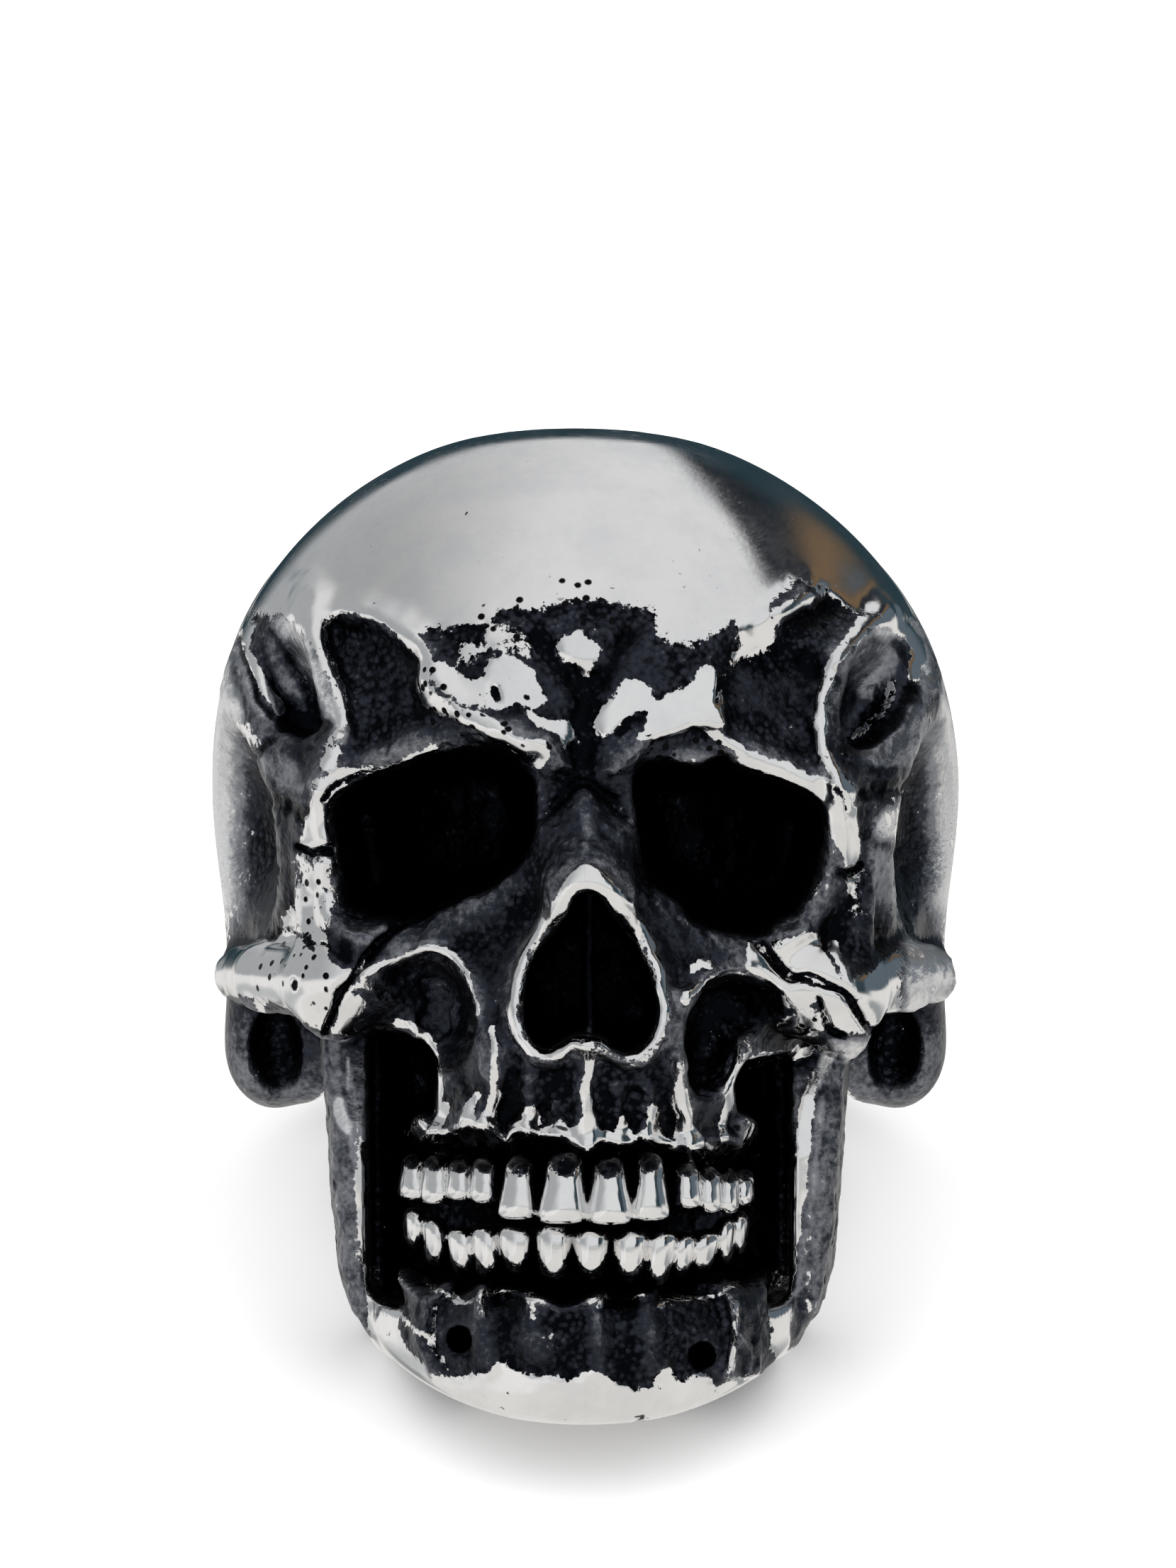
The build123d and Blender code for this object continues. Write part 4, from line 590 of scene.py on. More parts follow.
class Casting:
    """The whole ring as one field: below zero in the metal."""

    def __init__(self, step):
        self.relief, self.nose, self.left_eye, self.right_eye = draw_relief(step)

    def within(self, x, y, z, low, high):
        """Which points lie in a box, its corners given as shares."""
        (ax, af, az), (bx, bf, bz) = low, high
        return np.flatnonzero((x > ax * half) & (x < bx * half) & (y < -af * face_reach)
                              & (y > -bf * face_reach) & (z > az * skull_height) & (z < bz * skull_height))

    def apply(self, field, x, y, z, here, join, form, blend):
        """Joins or cuts a form at the points given."""
        if len(here):
            field[here] = join(field[here], form(x[here], y[here], z[here]), blend)

    def near(self, x, y, z, low, high, reach):
        """Which points lie within reach of a box given by two points."""
        return np.flatnonzero((x > low[0] - reach) & (x < high[0] + reach) & (y > low[1] - reach)
                              & (y < high[1] + reach) & (z > low[2] - reach) & (z < high[2] + reach))

    def sides(self, side, x):
        """The x of each side that a row is for, seen as if on the right."""
        signs = {BOTH: (-1, 1), LEFT: (-1,), RIGHT: (1,), MIDDLE: (1,)}[side]
        return [x * sign for sign in signs]

    def masses(self, field, x, y, z):
        """Ellipsoids and round bars."""
        for kind, side, centre, radii, roll, yaw, blend in MASSES:
            c, r = place(*centre), np.array([radii[0] * half, radii[1] * face_reach, radii[2] * skull_height])
            span = np.full(3, r.max()) if roll or yaw else r
            join = soft_join if kind == "join" else soft_cut
            for sx in self.sides(side, x):
                here = self.near(sx, y, z, c - span, c + span, (blend + 0.8) * mm)
                if len(here):
                    form = egg(sx[here], y[here], z[here], c, r, roll, yaw)
                    field[here] = join(field[here], form, blend * mm)
        for side, points, radii, blend in BARS:
            p = np.array([place(*point) for point in points])
            r = np.array(radii) * half
            for sx in self.sides(side, x):
                here = self.near(sx, y, z, p.min(0) - r.max(), p.max(0) + r.max(), (blend + 0.8) * mm)
                if len(here):
                    field[here] = soft_join(field[here], bar(sx[here], y[here], z[here], p, r), blend * mm)

    def jaw(self, field, x, y, z):
        """The closing wall, the lower jaw and the openings of the mouth."""
        here = self.within(x, y, z, (-1.1, 0.0, -0.1), (1.1, 1.1, 0.60))
        self.apply(field, x, y, z, here, soft_join, closing, 0.6 * mm)
        for side, inner, _, _ in JAW_BRANCHES:
            sx = side * x
            here = self.within(sx, y, z, (0.20, 0.0, -0.1), (1.1, 1.1, 0.50))
            branch = lambda a, b, c: ramus(a, b, c, inner * half)
            self.apply(field, sx, y, z, here, soft_join, branch, 0.4 * mm)
        here = self.within(x, y, z, (-1.1, 0.2, -0.1), (1.1, 1.1, 0.26))
        self.apply(field, x, y, z, here, soft_join, jaw_body, 0.4 * mm)
        for side, _, outer, drop in JAW_BRANCHES:
            sx = side * x
            here = self.within(sx, y, z, (0.2, 0.3, 0.08), (0.8, 1.1, 0.45))
            gap = lambda a, b, c: mouth_side(a, b, c, outer * half, drop)
            self.apply(field, sx, y, z, here, soft_cut, gap, 0.35 * mm)
        here = self.within(x, y, z, (-0.7, 0.3, 0.08), (0.7, 1.1, 0.33))
        self.apply(field, x, y, z, here, soft_cut, mouth_slot, 0.3 * mm)

    def face(self, field, x, y, z):
        """Nasal bones, low relief, eyes, nose and the hollows under the eyes."""
        bones = np.array([place(*point) for point in NASAL_BONES])
        radii = np.array(NASAL_RADII) * half
        here = self.within(x, y, z, (-0.35, 0.6, 0.43), (0.35, 1.1, 0.76))
        self.apply(field, x, y, z, here, soft_join, lambda a, b, c: bar(a, b, c, bones, radii), 0.9 * mm)
        here = self.within(x, y, z, (-1.1, 0.34, -0.1), (1.1, 1.1, 1.1))
        if len(here):
            drawn = self.relief.read(*unsteady(x[here], y[here], z[here]))
            field[here] -= drawn * ease(-0.34, -0.56, y[here] / face_reach)
        for eye, side in ((self.left_eye, -1), (self.right_eye, 1)):
            here = self.within(side * x, y, z, (0.03, 0.2, 0.43), (0.85, 1.1, 0.72))
            if len(here):
                a, b, c = x[here], y[here], z[here]
                taper = np.clip((b + 0.797 * face_reach) / (0.259 * face_reach), 0, 1.2)
                cut = soft_meet(eye.read(a, c) + 0.5 * mm * taper,
                                floor_radius - np.sqrt(a ** 2 + b ** 2), 1.2 * mm)
                field[here] = soft_cut(field[here], cut, 0.35 * mm)
        here = self.within(x, y, z, (-0.27, 0.2, 0.33), (0.27, 1.1, 0.58))
        if len(here):
            a, b, c = x[here], y[here], z[here]
            cut = soft_meet(self.nose.read(a, c), floor_radius - np.sqrt(a ** 2 + b ** 2), 1.0 * mm)
            septum = soft_meet(np.abs(a - 0.009 * half) - 0.16 * mm, -0.845 * face_reach - b, 0.2 * mm)
            inside = soft_cut(field[here], cut, 0.22 * mm)
            field[here] = soft_join(inside, soft_meet(septum, cut - 0.3 * mm, 0.2 * mm), 0.15 * mm)
        for side, centre, radii, roll, yaw in CHEEK_HOLLOWS:
            c, r = place(*centre), np.array([radii[0] * half, radii[1] * face_reach, radii[2] * skull_height])
            sx = side * x
            here = self.near(sx, y, z, c - r.max(), c + r.max(), 1.2 * mm)
            hollow = lambda a, b, d: egg(a, b, d, c, r, roll, yaw)
            self.apply(field, sx, y, z, here, soft_cut, hollow, 0.35 * mm)

    def teeth(self, field, x, y, z):
        """Both rows of teeth, and the two holes in the chin."""
        for rows, upper in ((UPPER_TEETH, True), (LOWER_TEETH, False)):
            for row in rows:
                low = place(min(row[0], row[3]) - 0.11, row[6] + 0.035, min(row[2], row[5]) - 0.05)
                high = place(max(row[0], row[3]) + 0.11, row[6] - 0.2, max(row[2], row[5]) + 0.05)
                here = self.near(x, y, z, low, high, 0)
                shape = lambda a, b, c: tooth(a, b, c, row, upper)
                self.apply(field, x, y, z, here, soft_join, shape, 0.12 * mm)
        for across, up in MENTAL_HOLES:
            line = np.array([place(across, mental_near[0], up), place(0.9 * across, mental_far[0], up)])
            radii = np.array([mental_near[1], mental_far[1]]) * half
            here = self.within(x, y, z, (-0.6, 0.6, 0.0), (0.6, 1.1, 0.15))
            self.apply(field, x, y, z, here, soft_cut,
                       lambda a, b, c: bar(a, b, c, line, radii), 0.2 * mm)

    def value(self, x, y, z):
        """The field at flat arrays of points."""
        field = soft_meet(cranium(x, y, z), z - roof(y), 1.6 * mm)
        field = soft_join(field, shank(x, y, z), 1.2 * mm)
        self.masses(field, x, y, z)
        self.jaw(field, x, y, z)
        self.face(field, x, y, z)
        self.teeth(field, x, y, z)
        return soft_meet(field, bore_radius - np.sqrt(x ** 2 + y ** 2), 0.5 * mm)


def corner_views(grid):
    """The grid seen from each of a cell's eight corners."""
    nx, ny, nz = grid.shape
    return [grid[i:nx - 1 + i, j:ny - 1 + j, k:nz - 1 + k] for i in (0, 1) for j in (0, 1) for k in (0, 1)]


def net(field, axes):
    """Surface of a sampled field: one point in each cell that the surface crosses, the mean of its
    crossings of the cell's edges, and one four-sided face round each crossed edge."""
    metal = field < 0
    count = sum(view.astype(np.int8) for view in corner_views(metal))
    crossed = (count > 0) & (count < 8)
    cells = np.argwhere(crossed)
    number = np.full(crossed.shape, -1, np.int32)
    number[crossed] = np.arange(len(cells), dtype=np.int32)
    total, hits = np.zeros((len(cells), 3)), np.zeros(len(cells))
    for i, j, k in [(i, j, k) for i in (0, 1) for j in (0, 1) for k in (0, 1)]:
        for axis in range(3):
            if (i, j, k)[axis]:
                continue
            a = cells + (i, j, k)
            b = a + np.eye(3, dtype=int)[axis]
            fa, fb = field[a[:, 0], a[:, 1], a[:, 2]], field[b[:, 0], b[:, 1], b[:, 2]]
            cross = (fa < 0) != (fb < 0)
            t = fa[cross] / (fa[cross] - fb[cross])
            for n in range(3):
                start, end = axes[n][a[cross, n]], axes[n][b[cross, n]]
                total[cross, n] += start + (end - start) * t
            hits[cross] += 1
    points = total / hits[:, None]
    faces = []
    for axis in range(3):
        one, two = (axis + 1) % 3, (axis + 2) % 3
        lower, upper = [slice(None)] * 3, [slice(None)] * 3
        lower[axis], upper[axis] = slice(0, -1), slice(1, None)
        edges = np.argwhere(metal[tuple(lower)] != metal[tuple(upper)])
        ring = []
        for d1, d2 in ((0, 0), (1, 0), (1, 1), (0, 1)):
            cell_at = edges.copy()
            cell_at[:, one] -= d1
            cell_at[:, two] -= d2
            ring.append(number[cell_at[:, 0], cell_at[:, 1], cell_at[:, 2]])
        ring = np.stack(ring, 1)
        inward = metal[edges[:, 0], edges[:, 1], edges[:, 2]]
        faces.append(np.where(inward[:, None], ring, ring[:, ::-1]))
    return points, np.vstack(faces)


# How the field is sampled: the spacing of a first look, how many of these steps off the surface a
# block is still worked out, the value kept elsewhere, and how many places are worked out at once
first_look, near_steps = 0.8 * mm, 1.4
far_value = 5 * mm
places_at_once = 1500000


def sampled(casting, low, high, cell):
    """The casting's field on a grid between two corners, worked out only near the surface: blocks of
    the grid whose corners all lie far from it keep a large value with their sign."""
    count = np.ceil((high - low) / cell).astype(int) + 3
    axes = [low[n] - cell + cell * np.arange(count[n]) for n in range(3)]
    stride = max(1, int(round(first_look / cell)))
    marks = [np.unique(np.append(np.arange(0, count[n], stride), count[n] - 1)) for n in range(3)]
    grid = np.meshgrid(*[axes[n][marks[n]] for n in range(3)], indexing="ij")
    rough = casting.value(*(g.ravel() for g in grid)).reshape(grid[0].shape)
    near = np.abs(rough) < stride * cell * near_steps
    active = np.zeros([size - 1 for size in rough.shape], bool)
    for view in corner_views(near):
        active |= view
    block = [np.searchsorted(marks[n], np.arange(count[n]), side="right") - 1 for n in range(3)]
    block = [np.clip(block[n], 0, len(marks[n]) - 2) for n in range(3)]
    wanted = active[np.ix_(*block)]
    for axis in range(3):
        grown = wanted.copy()
        after, before = [slice(None)] * 3, [slice(None)] * 3
        after[axis], before[axis] = slice(1, None), slice(0, -1)
        grown[tuple(after)] |= wanted[tuple(before)]
        wanted = grown
    field = (np.sign(rough)[np.ix_(*block)] * far_value).astype(np.float32)
    flat = field.ravel()
    where = np.flatnonzero(wanted.ravel())
    for start in range(0, len(where), places_at_once):
        part = where[start:start + places_at_once]
        ijk = np.unravel_index(part, tuple(count))
        flat[part] = casting.value(*(axes[n][ijk[n]] for n in range(3)))
    return flat.reshape(tuple(count)), axes


def piece_of(casting, low, high, cell):
    """Points and faces of the metal inside a box, closed by the box's sides."""
    field, axes = sampled(casting, low, high, cell)
    for n in range(3):
        shape = [1, 1, 1]
        shape[n] = -1
        wall = np.maximum(low[n] - axes[n], axes[n] - high[n]).reshape(shape).astype(np.float32)
        field = np.maximum(field, wall)
    return net(field, axes)


# Factors that scatter the corners of a cube grid over a table of random values, and its length
scatter_x, scatter_y, scatter_z = 73856093, 19349663, 83492791
random_values = 4096


def noise(x, y, z, grain, seed):
    """Smooth random values from -1 to 1, one lump to each grain length: seeded values at the corners
    of a cube grid, eased between them."""
    table = np.random.default_rng(seed).uniform(-1, 1, random_values)
    px, py, pz = x / grain + 97.3, y / grain + 41.7, z / grain + 63.1
    ix, iy, iz = (np.floor(p).astype(np.int64) for p in (px, py, pz))
    fx, fy, fz = px - ix, py - iy, pz - iz
    fx, fy, fz = (f * f * (3 - 2 * f) for f in (fx, fy, fz))
    total = np.zeros(len(x))
    for i in (0, 1):
        for j in (0, 1):
            for k in (0, 1):
                spot = (ix + i) * scatter_x ^ (iy + j) * scatter_y ^ (iz + k) * scatter_z
                spot = spot & (random_values - 1)
                share = (fx if i else 1 - fx) * (fy if j else 1 - fy) * (fz if k else 1 - fz)
                total += share * table[spot]
    return total


class Thickness:
    """How much metal lies round each point, at several distances: low on ridges and edges, half on
    flats and high in hollows."""

    def __init__(self, casting, cell, spreads):
        low = np.array([-1.12 * half, -1.06 * face_reach, -0.05 * skull_height])
        high = np.array([1.12 * half, band_outer + 1.5 * mm, 1.06 * skull_height])
        field, axes = sampled(casting, low, high, cell)
        filled = np.clip(0.5 - field / cell, 0, 1)
        self.low, self.cell = np.array([axis[0] for axis in axes]), cell
        self.layers = [self.spread(filled, max(1, int(round(reach / cell)))) for reach in spreads]

    def spread(self, grid, reach):
        """The mean over a cube, taken twice along each axis from running sums."""
        for _ in range(2):
            for axis in range(3):
                pads = [(0, 0)] * 3
                pads[axis] = (reach + 1, reach)
                run = np.cumsum(np.pad(grid, pads), axis=axis)
                upper, lower = [slice(None)] * 3, [slice(None)] * 3
                upper[axis], lower[axis] = slice(2 * reach + 1, None), slice(0, -2 * reach - 1)
                grid = (run[tuple(upper)] - run[tuple(lower)]) / (2 * reach + 1)
        return grid.astype(np.float32)

    def read(self, points):
        """Values of each layer at the points, taken between the grid's nodes."""
        place_in = (points - self.low) / self.cell
        node = np.clip(place_in.astype(int), 0, np.array(self.layers[0].shape) - 2)
        a, b, c = (place_in - node).T
        i, j, k = node.T
        found = []
        for layer in self.layers:
            total = 0
            for di, wa in ((0, 1 - a), (1, a)):
                for dj, wb in ((0, 1 - b), (1, b)):
                    for dk, wc in ((0, 1 - c), (1, c)):
                        total = total + wa * wb * wc * layer[i + di, j + dj, k + dk]
            found.append(total)
        return found


def face_normals(points, faces):
    """Each face's direction, its length twice the face's area."""
    a, b, c, d = (points[faces[:, n]] for n in range(4))
    return np.cross(c - a, d - b)


def vertex_normals(points, faces):
    """Directions at the points: the sum of those of the faces round each."""
    across = face_normals(points, faces)
    total = np.zeros_like(points)
    for n in range(4):
        for axis in range(3):
            total[:, axis] += np.bincount(faces[:, n], across[:, axis], len(points))
    return total / (np.linalg.norm(total, axis=1)[:, None] + 1e-12)


# The photograph's frame in its pixels, and its camera's place in the skull's frame
image_width, image_height = 1659, 2212
focal_pixels = 12540
middle_across, middle_down = 826, 1106
camera_distance = 322 * mm
aim_up = 21.84 * mm
face_low, face_high = (270, 530), (1390, 2070)      # corners of the part that shows the ring
drawing_step = 2.0      # pixels between two nodes of a drawing of the finish

# Where the polish has cut through the black on the face, seen in the photograph: name, softness of
# the edge, brightness, and the outline, in the photograph's pixels (across, down).
POLISHED = [
    ("forehead", 15, 1.0, [(150, 300), (330, 800), (372, 868), (400, 872), (430, 898), (452, 912),
        (462, 890), (468, 868), (505, 866), (530, 862), (560, 884), (600, 892), (640, 884), (683, 882),
        (701, 861), (740, 860), (778, 852), (820, 848), (866, 854), (915, 862), (930, 890), (948, 907),
        (985, 906), (1018, 890), (1032, 878), (1040, 905), (1030, 932), (1055, 926), (1088, 915),
        (1088, 885), (1092, 850), (1130, 820), (1190, 860), (1235, 868), (1270, 885), (1300, 860),
        (1500, 700), (1500, 300)]),
    ("left brow plate", 8, 1.0, [(606, 945), (618, 936), (635, 946), (652, 952), (668, 956), (682, 954),
        (688, 932), (702, 926), (722, 925), (738, 936), (750, 948), (756, 964), (768, 980), (767, 992),
        (750, 997), (735, 993), (715, 996), (695, 998), (672, 994), (640, 984), (618, 972)]),
    ("left inner plate", 6, 1.0, [(745, 1003), (760, 1006), (780, 1015), (795, 1014), (808, 1030),
        (804, 1045), (797, 1056), (793, 1045), (775, 1033), (755, 1020)]),
    ("diamond between the brows", 8, 1.0, [(786, 915), (795, 900), (815, 893), (835, 900), (848, 910),
        (844, 925), (838, 942), (828, 956), (818, 944), (803, 934), (790, 925)]),
    ("right brow plate", 8, 1.0, [(842, 1032), (845, 1010), (856, 994), (873, 976), (882, 962), (897, 958),
        (912, 966), (924, 978), (934, 984), (948, 978), (962, 972), (975, 960), (986, 943), (998, 936),
        (1010, 946), (1012, 965), (1010, 988), (1016, 1008), (1020, 1022), (1008, 1034), (995, 1024),
        (978, 1016), (960, 1022), (935, 1036), (912, 1044), (908, 1028), (912, 1008), (900, 1004),
        (882, 1014), (868, 1030), (856, 1042)]),
    ("speckled patch", 14, 0.62, [(645, 900), (668, 903), (690, 880), (740, 895), (750, 925), (720, 922),
        (690, 915), (665, 940), (645, 935)]),
    ("nose rim's top", 5, 1.2, [(750, 1315), (775, 1280), (800, 1240), (829, 1215), (858, 1240),
        (880, 1282), (902, 1315), (893, 1327), (868, 1292), (850, 1264), (829, 1252), (804, 1269),
        (783, 1298), (758, 1332)]),
    ("left orbit rim", 5, 1.0, [(525, 1080), (500, 1082), (470, 1085), (445, 1112), (433, 1140),
        (427, 1170), (424, 1192), (440, 1199), (462, 1199), (474, 1196), (466, 1180), (464, 1160),
        (468, 1135), (486, 1112), (505, 1098), (523, 1092)]),
    ("left bar under the rim", 14, 0.75, [(424, 1208), (420, 1240), (415, 1270), (398, 1300), (410, 1316),
        (440, 1318), (462, 1300), (474, 1270), (470, 1240), (474, 1212)]),
    ("left cheek plate", 4, 1.0, [(250, 1290), (330, 1316), (362, 1326), (388, 1326), (402, 1314),
        (425, 1325), (440, 1345), (450, 1310), (462, 1330), (463, 1350), (472, 1362), (490, 1364),
        (505, 1356), (520, 1342), (523, 1347), (508, 1362), (496, 1378), (480, 1396), (472, 1412),
        (466, 1436), (458, 1456), (440, 1448), (420, 1432), (400, 1420), (370, 1410), (345, 1405),
        (250, 1400)]),
    ("left cheek corner", 4, 1.0, [(482, 1402), (500, 1396), (513, 1410), (511, 1430), (499, 1448),
        (498, 1466), (478, 1465), (468, 1455), (478, 1432), (478, 1415)]),
    ("right orbit rim", 5, 1.0, [(1040, 1084), (1048, 1062), (1062, 1060), (1088, 1072), (1115, 1078),
        (1145, 1090), (1172, 1100), (1195, 1118), (1208, 1140), (1213, 1170), (1213, 1205), (1207, 1225),
        (1198, 1232), (1188, 1210), (1176, 1190), (1166, 1170), (1158, 1145), (1148, 1130), (1125, 1117),
        (1095, 1106), (1068, 1094)]),
    ("right bar under the rim", 12, 0.7, [(1195, 1238), (1213, 1222), (1214, 1260), (1218, 1290),
        (1204, 1292), (1194, 1262)]),
    ("right cheek plate", 5, 1.0, [(1086, 1332), (1112, 1320), (1150, 1315), (1160, 1332), (1170, 1352),
        (1180, 1372), (1190, 1390), (1168, 1389), (1145, 1385), (1128, 1376), (1112, 1366), (1096, 1352)]),
    ("right cheek strip", 5, 1.0, [(1052, 1336), (1068, 1330), (1084, 1349), (1096, 1362), (1114, 1375),
        (1138, 1389), (1162, 1394), (1160, 1418), (1150, 1416), (1130, 1424), (1116, 1408), (1092, 1396),
        (1072, 1390), (1060, 1378), (1054, 1356)]),
    ("right cheek lower plate", 5, 1.0, [(1158, 1398), (1184, 1399), (1200, 1416), (1216, 1439),
        (1232, 1460), (1226, 1488), (1206, 1502), (1186, 1494), (1172, 1480), (1166, 1462), (1190, 1458),
        (1172, 1448), (1164, 1436), (1160, 1416)]),
    ("right cheek corner", 4, 1.0, [(1190, 1388), (1204, 1380), (1226, 1372), (1246, 1358), (1266, 1340),
        (1290, 1330), (1400, 1320), (1400, 1420), (1290, 1425), (1262, 1430), (1248, 1458), (1238, 1462),
        (1222, 1438), (1206, 1414)]),
    ("right cheek lumps", 7, 0.85, [(1092, 1448), (1108, 1438), (1122, 1428), (1142, 1420), (1158, 1424),
        (1164, 1442), (1172, 1452), (1156, 1462), (1132, 1464), (1108, 1460)]),
    ("chin", 9, 1.0, [(612, 1936), (640, 1944), (655, 1946), (668, 1938), (690, 1935), (702, 1926),
        (720, 1928), (740, 1938), (775, 1940), (800, 1946), (822, 1938), (850, 1940), (872, 1952),
        (892, 1956), (925, 1958), (930, 1940), (938, 1930), (948, 1934), (958, 1950), (975, 1946),
        (990, 1940), (1005, 1944), (1012, 1956), (1030, 1945), (1060, 1938), (1082, 1936), (1100, 1910),
        (1180, 1900), (1180, 2100), (480, 2100), (480, 1880), (520, 1885), (548, 1880), (560, 1878),
        (585, 1912)]),
    ("left jaw corner", 8, 0.9, [(524, 1880), (528, 1840), (545, 1830), (556, 1812), (566, 1822),
        (566, 1850), (562, 1884)]),
    ("left canine root", 5, 1.0, [(650, 1570), (658, 1556), (670, 1552), (676, 1580), (688, 1560),
        (690, 1530), (697, 1510), (704, 1535), (710, 1545), (704, 1562), (700, 1590), (690, 1598),
        (668, 1604), (650, 1594)]),
    ("second root", 5, 0.9, [(728, 1586), (732, 1566), (745, 1558), (758, 1566), (762, 1584), (752, 1588)]),
    ("third root", 6, 0.8, [(770, 1592), (790, 1578), (800, 1580), (798, 1592), (782, 1596)]),
    ("foot of the spine", 4, 1.0, [(826, 1480), (838, 1486), (836, 1520), (834, 1548), (842, 1585),
        (856, 1602), (836, 1618), (822, 1612), (812, 1600), (822, 1580), (820, 1548), (825, 1520)]),
    ("fifth root", 5, 0.9, [(868, 1600), (872, 1580), (880, 1572), (886, 1588), (894, 1606), (880, 1618),
        (870, 1612)]),
    ("sixth root", 5, 0.9, [(912, 1600), (914, 1566), (924, 1558), (928, 1580), (938, 1604), (950, 1618),
        (934, 1618), (918, 1606)]),
    ("right canine root", 4, 1.0, [(954, 1600), (952, 1540), (958, 1508), (966, 1530), (972, 1570),
        (980, 1590), (985, 1615), (974, 1628), (958, 1625)]),
    ("left side lump", 12, 0.7, [(330, 1020), (352, 1018), (362, 1048), (358, 1078), (336, 1082)]),
    ("left temple shoulder", 16, 0.6, [(350, 820), (420, 850), (432, 880), (405, 876), (370, 868),
        (345, 880), (330, 860)]),
    ("right temple tab", 5, 1.0, [(1086, 866), (1105, 850), (1138, 838), (1150, 846), (1120, 866),
        (1096, 882)]),
    ("right side oval", 16, 0.6, [(1250, 1150), (1262, 1128), (1285, 1130), (1290, 1160), (1278, 1188),
        (1258, 1190)]),
    ("right lobe", 10, 0.75, [(1290, 1400), (1310, 1400), (1314, 1470), (1300, 1540), (1280, 1555),
        (1286, 1480)]),
]

